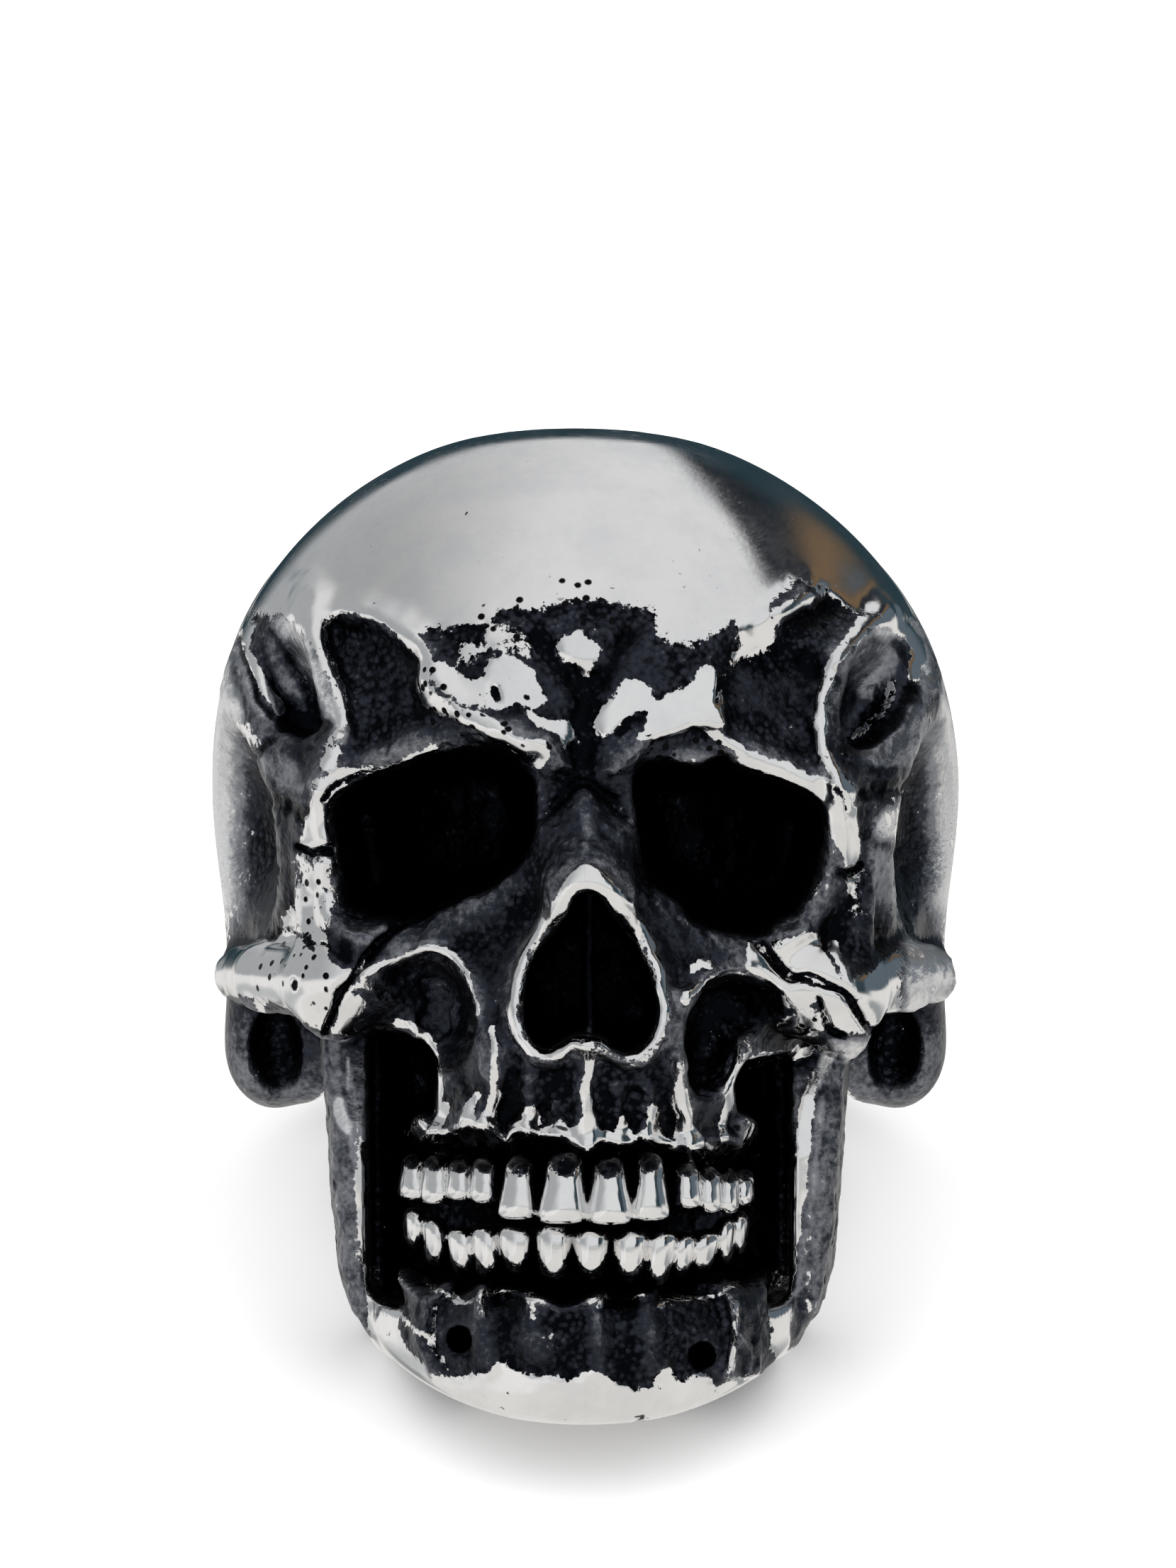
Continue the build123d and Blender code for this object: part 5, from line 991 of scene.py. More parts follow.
# Ridges that shine: half width, brightness and the line
SHINING = [
    # left brow
    (9, 1.0, [(520, 862), (545, 868), (560, 880), (575, 895), (590, 915), (600, 935), (598, 955),
        (600, 975), (615, 992), (640, 1003), (665, 1012), (690, 1020), (700, 1033), (715, 1045),
        (735, 1052), (755, 1055), (765, 1065), (760, 1075)]),
    # right brow
    (6, 1.0, [(905, 1042), (930, 1035), (955, 1025), (975, 1017), (985, 1017), (1000, 1028), (1015, 1040),
        (1035, 1048), (1050, 1065)]),
    (5, 0.8, [(1018, 955), (1012, 975), (1015, 1000), (1022, 1020)]),
    # temples
    (9, 0.62, [(435, 885), (452, 920), (470, 955), (480, 1000), (476, 1045), (460, 1080)]),
    (8, 0.72, [(1215, 890), (1190, 915), (1175, 940), (1163, 970), (1158, 1000), (1157, 1040), (1165, 1065),
        (1180, 1095), (1200, 1120)]),
    (7, 0.9, [(350, 880), (345, 900), (352, 930), (365, 955), (380, 980), (395, 1003)]),
    (7, 0.9, [(1215, 880), (1240, 875), (1270, 885), (1290, 905), (1297, 930), (1290, 955)]),
    (6, 0.5, [(1262, 965), (1250, 1000), (1225, 1020), (1200, 1045)]),
    # orbit rims and cheek bones
    (4, 0.7, [(525, 1089), (560, 1080), (590, 1066), (617, 1054)]),
    (5, 0.95, [(450, 1240), (447, 1290), (445, 1330)]),
    (5, 0.9, [(1175, 1330), (1185, 1360), (1193, 1380), (1190, 1392), (1170, 1388), (1155, 1385),
        (1140, 1375)]),
    # left hollow
    (5, 0.95, [(515, 1370), (545, 1360), (570, 1352), (590, 1342), (610, 1338), (635, 1345), (650, 1358)]),
    (4, 0.6, [(650, 1358), (665, 1390), (672, 1430)]),
    (5, 0.9, [(560, 1443), (580, 1447), (600, 1460), (610, 1480), (617, 1520), (618, 1560)]),
    (4, 0.7, [(497, 1392), (508, 1386), (520, 1388)]),
    # right hollow
    (5, 0.9, [(966, 1412), (975, 1400), (995, 1388), (1020, 1380), (1047, 1379), (1075, 1384), (1105, 1398),
        (1115, 1412)]),
    (6, 0.9, [(1160, 1478), (1120, 1485), (1080, 1492), (1048, 1502), (1034, 1520), (1027, 1545),
        (1021, 1575), (1019, 1612)]),
    (6, 0.8, [(980, 1368), (990, 1360), (1001, 1362)]),
    # nose
    (6, 1.0, [(829, 1226), (806, 1246), (786, 1276), (768, 1300), (752, 1322), (740, 1335), (732, 1365),
        (727, 1400), (723, 1430), (728, 1460), (745, 1480)]),
    (6, 1.0, [(829, 1226), (852, 1240), (872, 1264), (895, 1292), (915, 1322), (926, 1352), (934, 1390),
        (936, 1425)]),
    (5, 0.8, [(936, 1425), (930, 1455), (912, 1478), (890, 1488)]),
    (5, 1.0, [(745, 1480), (778, 1488), (790, 1488), (800, 1478), (812, 1474), (822, 1480)]),
    (5, 1.0, [(780, 1485), (800, 1465), (815, 1460), (835, 1465), (850, 1463), (855, 1478)]),
    (5, 1.0, [(828, 1475), (830, 1510), (828, 1548), (830, 1580), (838, 1600)]),
    # gum line and roots of the upper teeth
    (8, 1.0, [(648, 1590), (655, 1600), (670, 1605), (685, 1597), (700, 1610), (715, 1620), (725, 1600),
        (738, 1597), (755, 1603), (770, 1608), (785, 1608), (795, 1603), (805, 1605), (818, 1615),
        (828, 1620), (840, 1612), (855, 1605), (868, 1608), (878, 1620), (890, 1620), (905, 1607),
        (920, 1605), (935, 1613), (950, 1622), (970, 1625), (983, 1627), (985, 1610)]),
    (4, 0.75, [(722, 1590), (735, 1585), (765, 1597), (785, 1590), (815, 1597), (825, 1580)]),
    (5, 0.9, [(648, 1590), (656, 1570), (675, 1545)]),
    (4, 0.8, [(697, 1530), (697, 1500), (695, 1450)]),
    (4, 0.85, [(968, 1540), (975, 1580), (985, 1610)]),
    (5, 0.85, [(600, 1604), (620, 1597), (640, 1606)]),
    (5, 0.85, [(628, 1560), (618, 1580), (613, 1605)]),
    (6, 0.75, [(576, 1592), (588, 1580), (600, 1590)]),
    (5, 0.85, [(1020, 1610), (1010, 1625), (990, 1615)]),
    (5, 0.85, [(1035, 1625), (1050, 1620), (1063, 1590)]),
    # right cheek
    (6, 1.0, [(1255, 1400), (1260, 1425), (1240, 1460), (1215, 1495)]),
    # gum line of the lower teeth
    (4, 0.5, [(600, 1805), (610, 1818), (650, 1835), (670, 1830), (715, 1820), (735, 1820), (748, 1830),
        (755, 1860)]),
    (4, 0.5, [(845, 1845), (855, 1833), (890, 1830), (900, 1820), (908, 1825)]),
    (4, 0.5, [(930, 1840), (945, 1828), (975, 1832), (1010, 1825), (1040, 1810)]),
    # the chin's corners and sides
    (5, 0.5, [(570, 1860), (588, 1877), (605, 1890)]),
    (5, 0.45, [(615, 1840), (611, 1870), (610, 1900), (620, 1915), (632, 1930)]),
    (5, 0.55, [(1040, 1840), (1036, 1885), (1033, 1930)]),
    (6, 0.8, [(1095, 1800), (1094, 1850), (1097, 1910)]),
    # branches of the jaw
    (9, 1.0, [(478, 1555), (484, 1580), (495, 1595), (502, 1610), (507, 1660), (511, 1700), (516, 1740),
        (523, 1790), (530, 1840), (536, 1880)]),
    (5, 0.5, [(487, 1620), (490, 1680), (500, 1740), (505, 1780)]),
    (9, 1.0, [(1168, 1490), (1154, 1520), (1143, 1545), (1137, 1580), (1132, 1620), (1127, 1660),
        (1119, 1720), (1112, 1780), (1106, 1840), (1102, 1905)]),
    (5, 0.4, [(1140, 1720), (1142, 1760), (1138, 1800), (1145, 1850)]),
    # lobes, and beside the left branch's top
    (6, 0.6, [(365, 1410), (370, 1440), (385, 1480), (400, 1510), (420, 1540)]),
    (4, 0.9, [(493, 1495), (493, 1535)]),
    (12, 0.5, [(472, 1460), (472, 1550)]),
]

# Cracks, seams and marks that stay black: half width, strength and the line
BLACK = [
    (3, 1.0, [(1075, 1330), (1095, 1355), (1115, 1372), (1140, 1385), (1185, 1395), (1205, 1415),
        (1220, 1440), (1235, 1460)]),
    (2, 1.0, [(1155, 1405), (1160, 1430), (1165, 1448), (1190, 1455)]),
    (3, 1.0, [(520, 1345), (505, 1360), (490, 1385), (475, 1400), (468, 1430), (455, 1458)]),
    (3, 0.8, [(430, 1330), (455, 1332), (470, 1345)]),
    (4, 1.0, [(418, 1384), (419, 1390)]),
    (3, 1.0, [(425, 1196), (445, 1203), (472, 1200)]),
    (3, 1.0, [(1190, 1229), (1205, 1228), (1213, 1222)]),
    (4, 0.8, [(457, 1130), (470, 1112), (490, 1100), (515, 1090)]),
    (3, 0.8, [(1175, 1110), (1188, 1126), (1195, 1145)]),
    (4, 1.0, [(338, 900), (345, 940), (355, 960), (365, 990), (385, 1010)]),
    (9, 1.0, [(400, 1020), (430, 1022), (456, 1026)]),
    (4, 1.0, [(305, 1050), (325, 1075), (350, 1090), (370, 1055), (385, 1040)]),
    (4, 1.0, [(370, 1115), (400, 1125), (415, 1145), (425, 1160)]),
    (9, 1.0, [(1290, 968), (1270, 1000), (1255, 1025), (1232, 1040), (1192, 1056)]),
    (9, 1.0, [(1330, 1078), (1310, 1090), (1290, 1108), (1255, 1110), (1232, 1118), (1218, 1122)]),
    (8, 1.0, [(300, 1048), (325, 1070), (352, 1090), (380, 1126), (428, 1145)]),
    (7, 0.9, [(697, 972), (698, 984)]),
    (6, 0.9, [(875, 1035), (890, 1016), (908, 1006)]),
    (12, 1.0, [(487, 1335), (487, 1345)]),
    (4, 0.9, [(1018, 955), (1013, 975), (1012, 992)]),
    (5, 0.7, [(898, 2001), (906, 2001)]),
    (3, 0.35, [(600, 1985), (640, 1998), (668, 2004)]),
]

# Patches with small cast pits: softness of the edge, how many, outline
PITTED = [
    (24, 0.9, [(640, 905), (690, 850), (740, 832), (800, 822), (860, 832), (905, 850), (930, 880),
        (905, 905), (860, 908), (800, 905), (740, 915), (690, 925)]),
    (10, 0.95, [(590, 935), (612, 950), (640, 985), (690, 1010), (735, 1035), (770, 1060), (740, 1075),
        (690, 1062), (640, 1036), (600, 1010), (585, 960)]),
    (12, 0.8, [(905, 1048), (960, 1032), (1010, 1042), (1030, 1065), (980, 1068), (920, 1078)]),
    (12, 0.6, [(655, 985), (700, 975), (740, 985), (770, 1000), (740, 1010), (690, 1008)]),
    (14, 0.5, [(424, 1208), (418, 1270), (400, 1310), (440, 1320), (470, 1270), (474, 1212)]),
    (14, 0.5, [(1195, 1238), (1216, 1225), (1220, 1290), (1200, 1292)]),
    (12, 0.5, [(1092, 1445), (1150, 1420), (1172, 1452), (1130, 1468)]),
    (14, 0.35, [(360, 1330), (440, 1330), (470, 1440), (420, 1430), (360, 1400)]),
]

# Where the black is worn to grey or bright without an edge: softness, how far, outline. The sides of
# the head are worn like this.
WORN = [
    (12, 1.5, [(395, 862), (425, 880), (450, 925), (475, 975), (490, 1040), (470, 1050), (455, 1000),
        (430, 950), (400, 900), (385, 880)]),
    (14, 1.5, [(320, 860), (352, 868), (350, 920), (362, 975), (385, 1005), (365, 1012), (340, 970),
        (326, 910)]),
    (14, 1.7, [(280, 880), (318, 890), (330, 960), (345, 1010), (330, 1045), (300, 1050), (280, 1000)]),
    (12, 0.75, [(372, 890), (392, 900), (410, 935), (425, 970), (430, 1000), (404, 985), (385, 950),
        (372, 915)]),
    (12, 0.85, [(362, 1060), (400, 1062), (430, 1085), (432, 1120), (400, 1118), (372, 1096)]),
    (22, 1.35, [(285, 1080), (320, 1090), (345, 1120), (352, 1200), (350, 1270), (320, 1290), (285, 1280)]),
    (20, 0.8, [(345, 1110), (380, 1135), (395, 1180), (390, 1240), (372, 1285), (345, 1290), (340, 1200)]),
    (14, 1.5, [(1225, 880), (1262, 866), (1300, 876), (1318, 920), (1318, 985), (1300, 990), (1292, 930),
        (1270, 900), (1240, 905)]),
    (10, 1.3, [(1160, 960), (1190, 905), (1225, 885), (1230, 898), (1195, 925), (1168, 975), (1160, 1030)]),
    (14, 0.95, [(1215, 905), (1255, 902), (1275, 930), (1262, 965), (1225, 985), (1200, 975), (1195, 935)]),
    (14, 0.5, [(1195, 975), (1225, 985), (1205, 1030), (1178, 1045), (1168, 1015)]),
    (14, 0.95, [(1205, 1040), (1250, 1020), (1290, 985), (1320, 1010), (1325, 1060), (1290, 1085),
        (1245, 1085), (1210, 1080)]),
    (16, 1.7, [(1235, 1160), (1262, 1135), (1298, 1122), (1306, 1142), (1285, 1175), (1250, 1192),
        (1236, 1182)]),
    (22, 0.95, [(1218, 1190), (1260, 1190), (1300, 1170), (1325, 1180), (1328, 1290), (1290, 1310),
        (1240, 1280), (1222, 1230)]),
    (16, 1.7, [(1326, 960), (1380, 900), (1400, 1100), (1400, 1320), (1330, 1320), (1330, 1100)]),
    (14, 0.8, [(482, 1600), (505, 1600), (520, 1750), (530, 1860), (508, 1850), (490, 1720)]),
    (12, 1.3, [(492, 1530), (506, 1540), (522, 1640), (530, 1750), (540, 1850), (528, 1850), (512, 1740),
        (498, 1640)]),
    (14, 0.7, [(1110, 1650), (1150, 1640), (1150, 1800), (1110, 1880), (1098, 1800), (1104, 1700)]),
    (12, 1.2, [(1150, 1560), (1166, 1560), (1150, 1700), (1128, 1830), (1105, 1900), (1100, 1880),
        (1120, 1800), (1138, 1690)]),
    (16, 0.75, [(330, 1420), (370, 1420), (400, 1500), (400, 1530), (350, 1520)]),
    (16, 0.75, [(1250, 1440), (1300, 1420), (1310, 1500), (1280, 1560), (1240, 1540)]),
    (25, 0.35, [(430, 900), (520, 890), (590, 950), (560, 1030), (480, 1050), (470, 960)]),
    (25, 0.35, [(1040, 950), (1110, 940), (1150, 1000), (1150, 1070), (1080, 1050), (1030, 1000)]),
    (12, 0.75, [(818, 1140), (838, 1140), (842, 1185), (834, 1212), (820, 1212), (814, 1185)]),
    (12, 0.5, [(822, 1330), (834, 1330), (834, 1450), (822, 1450)]),
    (20, 0.45, [(560, 1390), (620, 1370), (660, 1420), (650, 1520), (600, 1470)]),
]


def seen_at(points):
    """The pixels of the photograph where points of the skull's frame are seen."""
    scale = focal_pixels / (points[:, 1] + camera_distance)
    return middle_across + points[:, 0] * scale, middle_down - (points[:, 2] - aim_up) * scale


def face_sheet(rows):
    """Patches of (softness, strength, outline) drawn over the photograph's frame."""
    sheet = Sheet(drawing_step, face_low, face_high)
    for edge, strength, outline in rows:
        spot, away = sheet.near_loop(np.array(outline), 1.2 * edge)
        sheet.height[spot] = np.maximum(sheet.height[spot], strength * ease(edge, -edge, away))
    return sheet


def draw_finish():
    """Four drawings over the photograph's frame: how far the face is polished, how many pits it has,
    how far its black is worn, and its cracks."""
    polish = face_sheet([row[1:] for row in POLISHED])
    cracks = Sheet(drawing_step, face_low, face_high)
    for width, bright, line in SHINING:
        spot, away = polish.near_line(np.array(line), 2.5 * width)
        drawn = 1.25 * bright * ease(1.7 * width, 0.5 * width, away)
        polish.height[spot] = np.maximum(polish.height[spot], drawn)
    for width, strength, line in BLACK:
        spot, away = cracks.near_line(np.array(line), 2.5 * width)
        drawn = strength * ease(1.5 * width, 0.5 * width, away)
        cracks.height[spot] = np.maximum(cracks.height[spot], drawn)
    return polish, face_sheet(PITTED), face_sheet(WORN), cracks


def tooth_polish(points):
    """How far each point lies on the polished face of a tooth, up to two horns by the gum on the upper
    ones and over two thirds of the lower ones, round below; and how far on its black root."""
    x, y, z = points.T
    found, roots = np.zeros(len(points)), np.zeros(len(points))
    for rows, upper in ((UPPER_TEETH, True), (LOWER_TEETH, False)):
        for row in rows:
            share, side, flank, face = tooth_lines(x, z, row, upper)
            across = side / flank
            limit = 0.72 + 0.24 * across ** 2 if upper else 0.86 - 0.35 * across ** 2
            on_face = ease(0.60 * mm, 0.40 * mm, y - face) * ease(-0.6 * mm, -0.4 * mm, y - face)
            shine = ease(limit + 0.10, limit - 0.10, share) * ease(-0.2, -0.1, share) \
                * ease(1.16, 1.0, np.abs(across))
            found = np.maximum(found, shine * on_face)
            root = ease(limit - 0.05, limit + 0.10, share) * ease(1.25, 1.15, share) * on_face \
                * ease(1.3, 1.2, np.abs(across))
            roots = np.maximum(roots, root)
    return found, roots


def in_openings(casting, points):
    """How far inside the eyes and the nose each point lies, from 0 on the face to 1 in the dark."""
    x, y, z = points.T
    deep = np.zeros(len(points))
    for sheet, front_edge in ((casting.left_eye, -0.78), (casting.right_eye, -0.78), (casting.nose, -0.86)):
        inside = ease(-0.05 * mm, -0.35 * mm, sheet.read(x, z))
        deep = np.maximum(deep, inside * ease(front_edge - 0.02, front_edge + 0.02, y / face_reach))
    return deep


def finish_of(casting, points, layers, drawings):
    """The finish at each point, and how far it lies in a crack. On the face the polish drawn from the
    photograph, the teeth and what stands proud shine out of the black, and the black is worn to grey
    in places; the band is polished apart from its hollows, and the bulges of the sides are worn
    bright."""
    x, y, z = points.T
    aside, up, back = np.abs(x) / half, z / skull_height, y / face_reach
    fine, middle = layers
    across, height = unsteady(x, y, z)
    there = seen_at(np.stack([across, y, height], 1))
    polish, pitted, worn, crack = (drawing.read(*there) for drawing in drawings)
    bored = ease(bore_radius + 0.45 * mm, bore_radius + 0.25 * mm, np.sqrt(x ** 2 + y ** 2))
    deep = in_openings(casting, points) * ease(-0.30, -0.40, back) * (1 - bored)
    ridge = ease(0.15, 0.27, 0.5 - fine) * ease(0.02, 0.10, 0.5 - middle)
    teeth, roots = tooth_polish(points)
    face = np.maximum(np.maximum(polish, teeth), 0.50 * ridge * (1 - roots))

    # The jaw's branches and the right arch are bright by wear, without the polish's sharp edge
    flank = ease(0.57, 0.63, aside) * ease(0.395, 0.37, up) * ease(0.09, 0.12, up)
    worn = np.maximum(worn, 1.4 * face * flank)
    face = face * (1 - flank)
    arch = ease(0.79, 0.86, x / half) * ease(0.385, 0.40, up) * ease(0.485, 0.47, up)
    worn = np.maximum(worn, 1.7 * arch)
    face = face * (1 - arch)

    # Beside and behind the face, and in the bore, what is smooth is polished
    smooth = ease(0.60, 0.50, middle) * ease(0.62, 0.52, fine)
    top = ease(0.70, 0.78, up)
    ragged = back + 0.07 * noise(x, y, z, 2.6 * mm, 23)
    behind = ease(-0.32, -0.04, ragged - 0.26 * ease(0.47, 0.41, up))
    beside = np.maximum(ease(-0.46, -0.36, back), bored)
    shine = face * (1 - beside) + beside * smooth * (top * (1 - behind) + behind)
    crack = crack * (1 - beside)
    shine = np.maximum(shine, ease(0.86, 0.92, up) * smooth) * (1 - deep) * (1 - crack)
    shine = np.maximum(shine, 1.3 * bored) - 0.5 * deep

    # How far the black is worn thin
    chin = ease(0.150, 0.135, up) * ease(0.50, 0.42, aside)
    grey = np.clip(0.26 - 0.14 * chin + 1.6 * (0.5 - middle) + 1.4 * (0.5 - fine), 0, 0.8)
    bulge = ease(0.86, 1.0, aside) * ease(0.44, 0.52, up)
    side_grey = np.clip(0.35 + 1.4 * bulge + 2.0 * (0.5 - middle), 0.1, 1.7)
    grey = np.maximum(grey * (1 - 0.8 * roots), worn) * (1 - beside) + side_grey * beside
    grey = grey * (1 - deep) * (1 - crack)
    return {"shine": shine, "grey": grey, "pitted": pitted * (1 - beside)}, crack


def weathered(points, normals, shine, crack):
    """The points moved along their normals: polished plates stand a little proud, and the black is
    pitted and lumpy, as cast."""
    x, y, z = points.T
    black = 1 - np.clip(shine, 0, 1)
    face = ease(-0.20, -0.40, y / face_reach)
    lumps = 0.060 * noise(x, y, z, 1.1 * mm, 11) + 0.050 * noise(x, y, z, 0.55 * mm, 12) \
        + 0.035 * noise(x, y, z, 0.30 * mm, 13)
    pits = -0.09 * ease(0.40, 0.75, noise(x, y, z, 0.42 * mm, 14))
    pits = pits - 0.10 * crack
    plates = 0.04 + 0.008 * noise(x, y, z, 1.6 * mm, 15)
    move = mm * face * (black * (lumps + pits) + (1 - black) * plates)
    return points + normals * move[:, None]


# The casting's skin in pieces: name, low and high corner in millimetres, mesh step in millimetres.
# Neighbours overlap a little inside the metal.
PIECES = [
    ("crown", (-15, -25, 21.9), (15, -11.2, 37), 0.12),
    ("left_eye_and_cheek", (-15, -25, 11.8), (0.2, -11.2, 22.3), 0.11),
    ("right_eye_and_cheek", (-0.2, -25, 11.8), (15, -11.2, 22.3), 0.11),
    ("left_jaw_and_teeth", (-15, -25, -1), (0.2, -11.2, 12.2), 0.11),
    ("right_jaw_and_teeth", (-0.2, -25, -1), (15, -11.2, 12.2), 0.11),
    ("left_side", (-15, -11.7, -1), (0.25, 3.2, 37), 0.19),
    ("right_side", (-0.25, -11.7, -1), (15, 3.2, 37), 0.19),
    ("band", (-15, 2.7, -1), (15, 15, 37), 0.25),
]


def leaned(points):
    """Points of the skull's own frame turned back by the lean."""
    c, s = math.cos(lean), math.sin(lean)
    x, y, z = points.T
    return np.stack([x, y * c + z * s, z * c - y * s], 1)


def add_attribute(mesh, name, values):
    """A value for each vertex."""
    layer = mesh.attributes.new(name, "FLOAT", "POINT")
    layer.data.foreach_set("value", np.asarray(values, np.float32))


def add_piece(name, points, faces, normals, finish):
    """A mesh from points and four-sided faces, with its own shading directions and finish values."""
    mesh = bpy.data.meshes.new(name)
    mesh.vertices.add(len(points))
    mesh.vertices.foreach_set("co", points.astype(np.float32).ravel())
    mesh.loops.add(faces.size)
    mesh.loops.foreach_set("vertex_index", faces.astype(np.int32).ravel())
    mesh.polygons.add(len(faces))
    mesh.polygons.foreach_set("loop_start", np.arange(0, faces.size, 4, dtype=np.int32))
    mesh.update(calc_edges=True)
    mesh.polygons.foreach_set("use_smooth", np.ones(len(faces), bool))
    for key, values in finish.items():
        add_attribute(mesh, key, values)
    mesh.normals_split_custom_set_from_vertices(normals.astype(np.float32))
    piece = bpy.data.objects.new(name, mesh)
    bpy.context.scene.collection.objects.link(piece)
    return piece


class Nodes:
    """Short ways to write a node tree."""

    def __init__(self, tree):
        self.tree = tree
        tree.nodes.clear()

    def add(self, kind, values=None, **settings):
        node = self.tree.nodes.new(kind)
        for key, value in settings.items():
            setattr(node, key, value)
        for key, value in (values or {}).items():
            self.put(node.inputs[key], value)
        return node

    def put(self, socket, value):
        """A link where the value is another node's output, else the value itself."""
        if isinstance(value, bpy.types.NodeSocket):
            self.tree.links.new(value, socket)
        else:
            socket.default_value = value

    def math(self, operation, *terms):
        node = self.add("ShaderNodeMath", operation=operation)
        for socket, term in zip(node.inputs, terms):
            self.put(socket, term)
        return node.outputs[0]

    def plus(self, a, b):
        return self.math("ADD", a, b)

    def minus(self, a, b):
        return self.math("SUBTRACT", a, b)

    def times(self, a, b):
        return self.math("MULTIPLY", a, b)

    def noise(self, where, scale, detail=3.0, roughness=0.55):
        node = self.add("ShaderNodeTexNoise", {"Vector": where, "Scale": scale, "Detail": detail,
                                               "Roughness": roughness})
        return node.outputs["Fac"]

    def between(self, value, low, high, start=0.0, end=1.0):
        sockets = {"Value": value, "From Min": low, "From Max": high, "To Min": start, "To Max": end}
        return self.add("ShaderNodeMapRange", sockets, interpolation_type="SMOOTHSTEP").outputs["Result"]

    def mix(self, share, a, b):
        node = self.add("ShaderNodeMix", data_type="RGBA")
        for socket, value in ((node.inputs[0], share), (node.inputs[6], a), (node.inputs[7], b)):
            self.put(socket, value)
        return node.outputs[2]

    def value(self, name):
        return self.add("ShaderNodeAttribute", attribute_name=name, attribute_type="GEOMETRY").outputs["Fac"]


def new_material(name):
    """A material and its empty node tree."""
    material = bpy.data.materials.new(name)
    material.use_nodes = True
    return material, Nodes(material.node_tree)


# Colours of the metal, from polished silver to the black in its pits
polished_silver, stained_silver = (0.86, 0.855, 0.85, 1), (0.77, 0.77, 0.775, 1)
bright_wear, grey_wear = (0.80, 0.80, 0.81, 1), (0.24, 0.25, 0.275, 1)
thin_black, full_black = (0.031, 0.034, 0.046, 1), (0.003, 0.0035, 0.005, 1)
pit_black = (0.006, 0.006, 0.007, 1)


def worn_silver():
    """Silver with black patina: where the shine value is high the polish has taken the black off, and
    where the grey value is high the black is worn thin."""
    material, n = new_material("worn_silver")
    where = n.add("ShaderNodeTexCoord").outputs["Object"]
    coarse = n.minus(n.noise(where, 1300.0, 4.0, 0.6), 0.5)
    fine = n.minus(n.noise(where, 4600.0, 3.0, 0.62), 0.5)
    ragged = n.plus(n.times(coarse, 1.4), n.times(fine, 1.5))
    bare = n.between(n.plus(n.value("shine"), ragged), 0.44, 0.56)
    cells = n.add("ShaderNodeTexVoronoi", {"Vector": where, "Scale": 2500.0})
    chance = n.add("ShaderNodeSeparateColor", {"Color": cells.outputs["Color"]}).outputs[0]
    spot = n.between(cells.outputs["Distance"], 0.36, 0.26)
    pit = n.times(spot, n.between(n.minus(n.value("pitted"), chance), 0.0, 0.05))
    bare = n.times(bare, n.minus(1.0, pit))
    stain = n.noise(where, 500.0, 5.0, 0.65)
    silver = n.mix(n.between(stain, 0.35, 0.7), polished_silver, stained_silver)
    grain = n.add("ShaderNodeTexVoronoi", {"Vector": where, "Scale": 4200.0, "Randomness": 1.0})
    grain = n.between(grain.outputs["Distance"], 0.75, 0.15)
    thin = n.plus(n.value("grey"), n.times(ragged, 0.55))
    leather = n.between(n.value("grey"), 0.65, 0.35, 0.05, 0.40)
    leather = n.times(leather, n.between(n.noise(where, 420.0, 2.0, 0.5), 0.35, 0.6, 0.25, 1.0))
    thin = n.plus(thin, n.times(n.minus(grain, 0.62), leather))
    black = n.mix(n.between(thin, 0.0, 0.55), full_black, thin_black)
    black = n.mix(n.between(thin, 0.5, 1.05), black, grey_wear)
    black = n.mix(n.between(thin, 1.0, 1.7), black, bright_wear)
    colour = n.mix(bare, n.mix(pit, black, pit_black), silver)
    along = n.add("ShaderNodeMapping", {"Vector": where, "Scale": (1.0, 1.0, 9.0),
                                        "Rotation": (0.3, 0.9, 0.2)}).outputs["Vector"]
    scratch = n.noise(along, 3000.0, 2.0, 0.7)
    wear = n.plus(n.times(stain, 0.6), n.times(scratch, 0.4))
    dark = n.minus(1.0, bare)
    roughness = n.plus(n.times(n.between(wear, 0.3, 0.75, 0.08, 0.20), bare), n.times(dark, 0.34))
    grained = n.plus(n.times(grain, leather), fine)
    cast = n.times(grained, n.plus(dark, 0.03))
    height = n.plus(cast, n.times(scratch, 0.02))
    height = n.plus(height, n.times(bare, 0.55))
    height = n.minus(height, n.times(pit, 0.6))
    bump = n.add("ShaderNodeBump", {"Strength": 0.6, "Distance": 0.00007, "Height": height})
    surface = n.add("ShaderNodeBsdfPrincipled", {"Base Color": colour, "Roughness": roughness,
                                                 "Metallic": 1.0, "Normal": bump.outputs["Normal"]})
    n.add("ShaderNodeOutputMaterial", {"Surface": surface.outputs["BSDF"]})
    return material


def pale(name, colour, roughness):
    """Plain matt paint with a slight unevenness."""
    material, n = new_material(name)
    where = n.add("ShaderNodeTexCoord").outputs["Object"]
    tone = n.mix(n.noise(where, 12.0), colour, tuple(0.985 * c for c in colour[:3]) + (1,))
    surface = n.add("ShaderNodeBsdfPrincipled", {"Base Color": tone, "Roughness": roughness,
                                                 "Specular IOR Level": 0.1})
    n.add("ShaderNodeOutputMaterial", {"Surface": surface.outputs["BSDF"]})
    return material


relief_step = 0.06 * mm         # between two nodes of the drawings of the form
thickness_step = 0.25 * mm      # between two nodes of the thickness
fine_reach, middle_reach = 0.5 * mm, 1.0 * mm       # the distances over which it is taken
cut_margin = 0.02 * mm          # points this near a piece's box lie on its cut faces

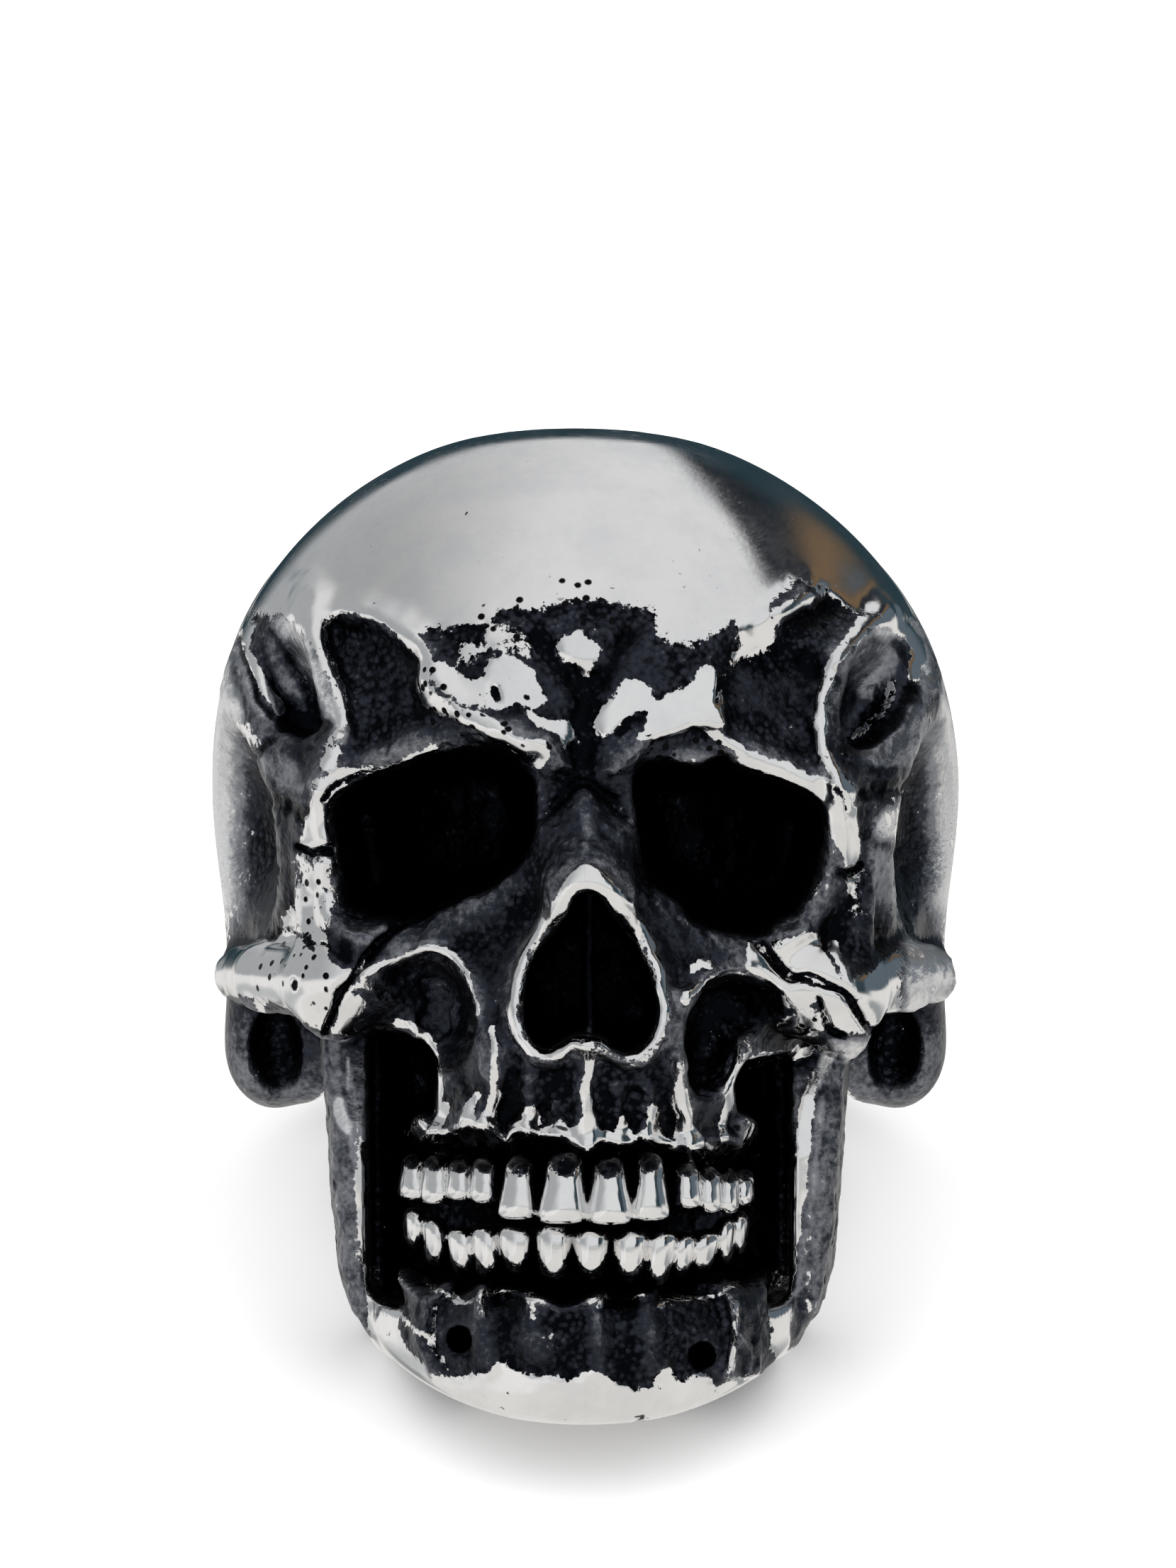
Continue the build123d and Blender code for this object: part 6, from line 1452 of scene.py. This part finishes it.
casting = Casting(relief_step)
thickness = Thickness(casting, thickness_step, (fine_reach, middle_reach))
drawings = draw_finish()
skin = []
for name, low, high, step in PIECES:
    low, high = np.array(low) * mm, np.array(high) * mm
    points, faces = piece_of(casting, low, high, step * mm)
    inside = np.all((points > low + cut_margin) & (points < high - cut_margin), axis=1)
    outer_faces = inside[faces].any(1)
    normals = vertex_normals(points, faces[outer_faces])
    finish, crack = finish_of(casting, points, thickness.read(points), drawings)
    points = weathered(points, normals, finish["shine"], crack)
    normals = vertex_normals(points, faces[outer_faces])
    lost = np.linalg.norm(normals, axis=1) < 0.5
    normals[lost] = vertex_normals(points, faces)[lost]
    skin.append((name, points, faces, normals, finish))

resting = [leaned(points) for _, points, *_ in skin]
low = np.min([points.min(0) for points in resting], 0)
high = np.max([points.max(0) for points in resting], 0)
cad_low, cad_high = np.array(cad_box[0]), np.array(cad_box[1])
fit = min(1.0, ((cad_high - cad_low) / (high - low)).min())
middle = (low + high) / 2
shift = np.array([-middle[0], -middle[1], -low[2]])

silver = worn_silver()
for (name, points, faces, normals, finish), placed in zip(skin, resting):
    piece = add_piece(name, (placed + shift) * fit, faces, leaned(normals), finish)
    piece.data.materials.append(silver)
    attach(piece, "root")
    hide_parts("skull_ring")


sensor = 36.0       # the camera's, in millimetres; only its share of the lens counts

# Colours of the table top's paint, of the even light, and of what the metal mirrors
table_paint = (0.93, 0.93, 0.935, 1)
even_light = (1.7, 1.7, 1.7, 1)
white_box, white_table = (0.985, 0.99, 1.0, 1), (0.80, 0.785, 0.76, 1)
dark_room, dark_wall = (0.007, 0.010, 0.015, 1), (0.014, 0.036, 0.048, 1)
brown_streak, grey_wall = (0.16, 0.10, 0.05, 1), (0.10, 0.13, 0.16, 1)


def at_rest(x, y, z):
    """A point of the skull's own frame in the resting ring's frame."""
    return (leaned(np.array([[x, y, z]]))[0] + shift) * fit


def add_camera():
    """A camera square to the finger's axis, in front of the face."""
    data = bpy.data.cameras.new("photo_view")
    data.sensor_fit = "VERTICAL"
    data.sensor_height = sensor
    data.sensor_width = sensor
    data.lens = sensor * focal_pixels / image_height
    data.shift_x = (image_width / 2 - middle_across) / image_height
    data.clip_start, data.clip_end = 0.01, 20
    camera = bpy.data.objects.new("photo_view", data)
    camera.location = at_rest(0, -camera_distance, aim_up)
    camera.rotation_euler = (math.pi / 2 - lean, 0, 0)
    bpy.context.scene.collection.objects.link(camera)
    bpy.context.scene.camera = camera


def add_floor():
    """A pale table top."""
    mesh = bpy.data.meshes.new("table_top")
    side = 1.5      # metres from its middle to an edge
    corners = [(-side, -side, 0), (side, -side, 0), (side, side, 0), (-side, side, 0)]
    mesh.from_pydata(corners, [], [(0, 1, 2, 3)])
    floor = bpy.data.objects.new("table_top", mesh)
    mesh.materials.append(pale("pale_table", table_paint, 0.7))
    floor.visible_glossy = False
    bpy.context.scene.collection.objects.link(floor)


def add_studio():
    """Even white light for the table. What the metal mirrors, by its direction from the skull: a white
    table below, a white backdrop behind, a wide soft box above and before it that ends on the right,
    and a dark room elsewhere."""
    world = bpy.data.worlds.new("studio")
    bpy.context.scene.world = world
    world.use_nodes = True
    n = Nodes(world.node_tree)
    towards = n.add("ShaderNodeSeparateXYZ", {"Vector": n.add("ShaderNodeTexCoord").outputs["Generated"]})
    right, y, z = towards.outputs
    c, s = math.cos(lean), math.sin(lean)
    back = n.minus(n.times(y, c), n.times(z, s))
    up = n.plus(n.times(z, c), n.times(y, s))
    table = n.between(up, 0.03, -0.12)
    backdrop = n.times(n.between(back, 0.0, 0.3), n.between(up, 0.10, 0.03))
    aside = n.times(n.between(n.math("ABSOLUTE", right), 0.18, 0.35), n.between(back, 0.0, 0.25))
    streak = n.times(n.between(up, -0.46, -0.36), n.between(up, -0.12, -0.26))
    streak = n.times(n.times(aside, streak), 0.65)
    below = n.times(n.math("MAXIMUM", table, backdrop), n.minus(1.0, streak))
    past_edge = n.plus(right, n.times(back, 0.6))
    low_left = n.plus(up, n.between(right, -0.25, -0.65, 0.0, 0.5))
    box = n.times(n.between(low_left, -0.09, 0.06), n.between(past_edge, 0.66, 0.57))
    rear_gap = n.times(n.between(back, 0.78, 0.86), n.between(right, -0.6, -0.25))
    box = n.times(box, n.minus(1.0, rear_gap))
    depth = n.plus(right, n.times(back, -0.25))
    box = n.times(box, n.between(depth, -0.75, 0.05, 0.40, 0.76))
    brown = n.times(n.between(past_edge, 0.80, 0.90), n.between(past_edge, 1.0, 0.92))
    brown = n.times(brown, n.between(up, 0.3, 0.6))
    room = n.mix(n.between(up, 0.75, 0.5), dark_room, dark_wall)
    room = n.mix(brown, room, brown_streak)
    room = n.mix(n.between(past_edge, 0.94, 1.02), room, grey_wall)
    mirrored = n.mix(box, n.mix(below, room, white_table), white_box)
    glossy = n.add("ShaderNodeLightPath").outputs["Is Glossy Ray"]
    colour = n.mix(glossy, even_light, mirrored)
    light = n.add("ShaderNodeBackground", {"Color": colour, "Strength": 1.0})
    n.add("ShaderNodeOutputWorld", {"Surface": light.outputs["Background"]})


add_camera()
add_floor()
add_studio()
bpy.context.scene.view_settings.view_transform = "Standard"
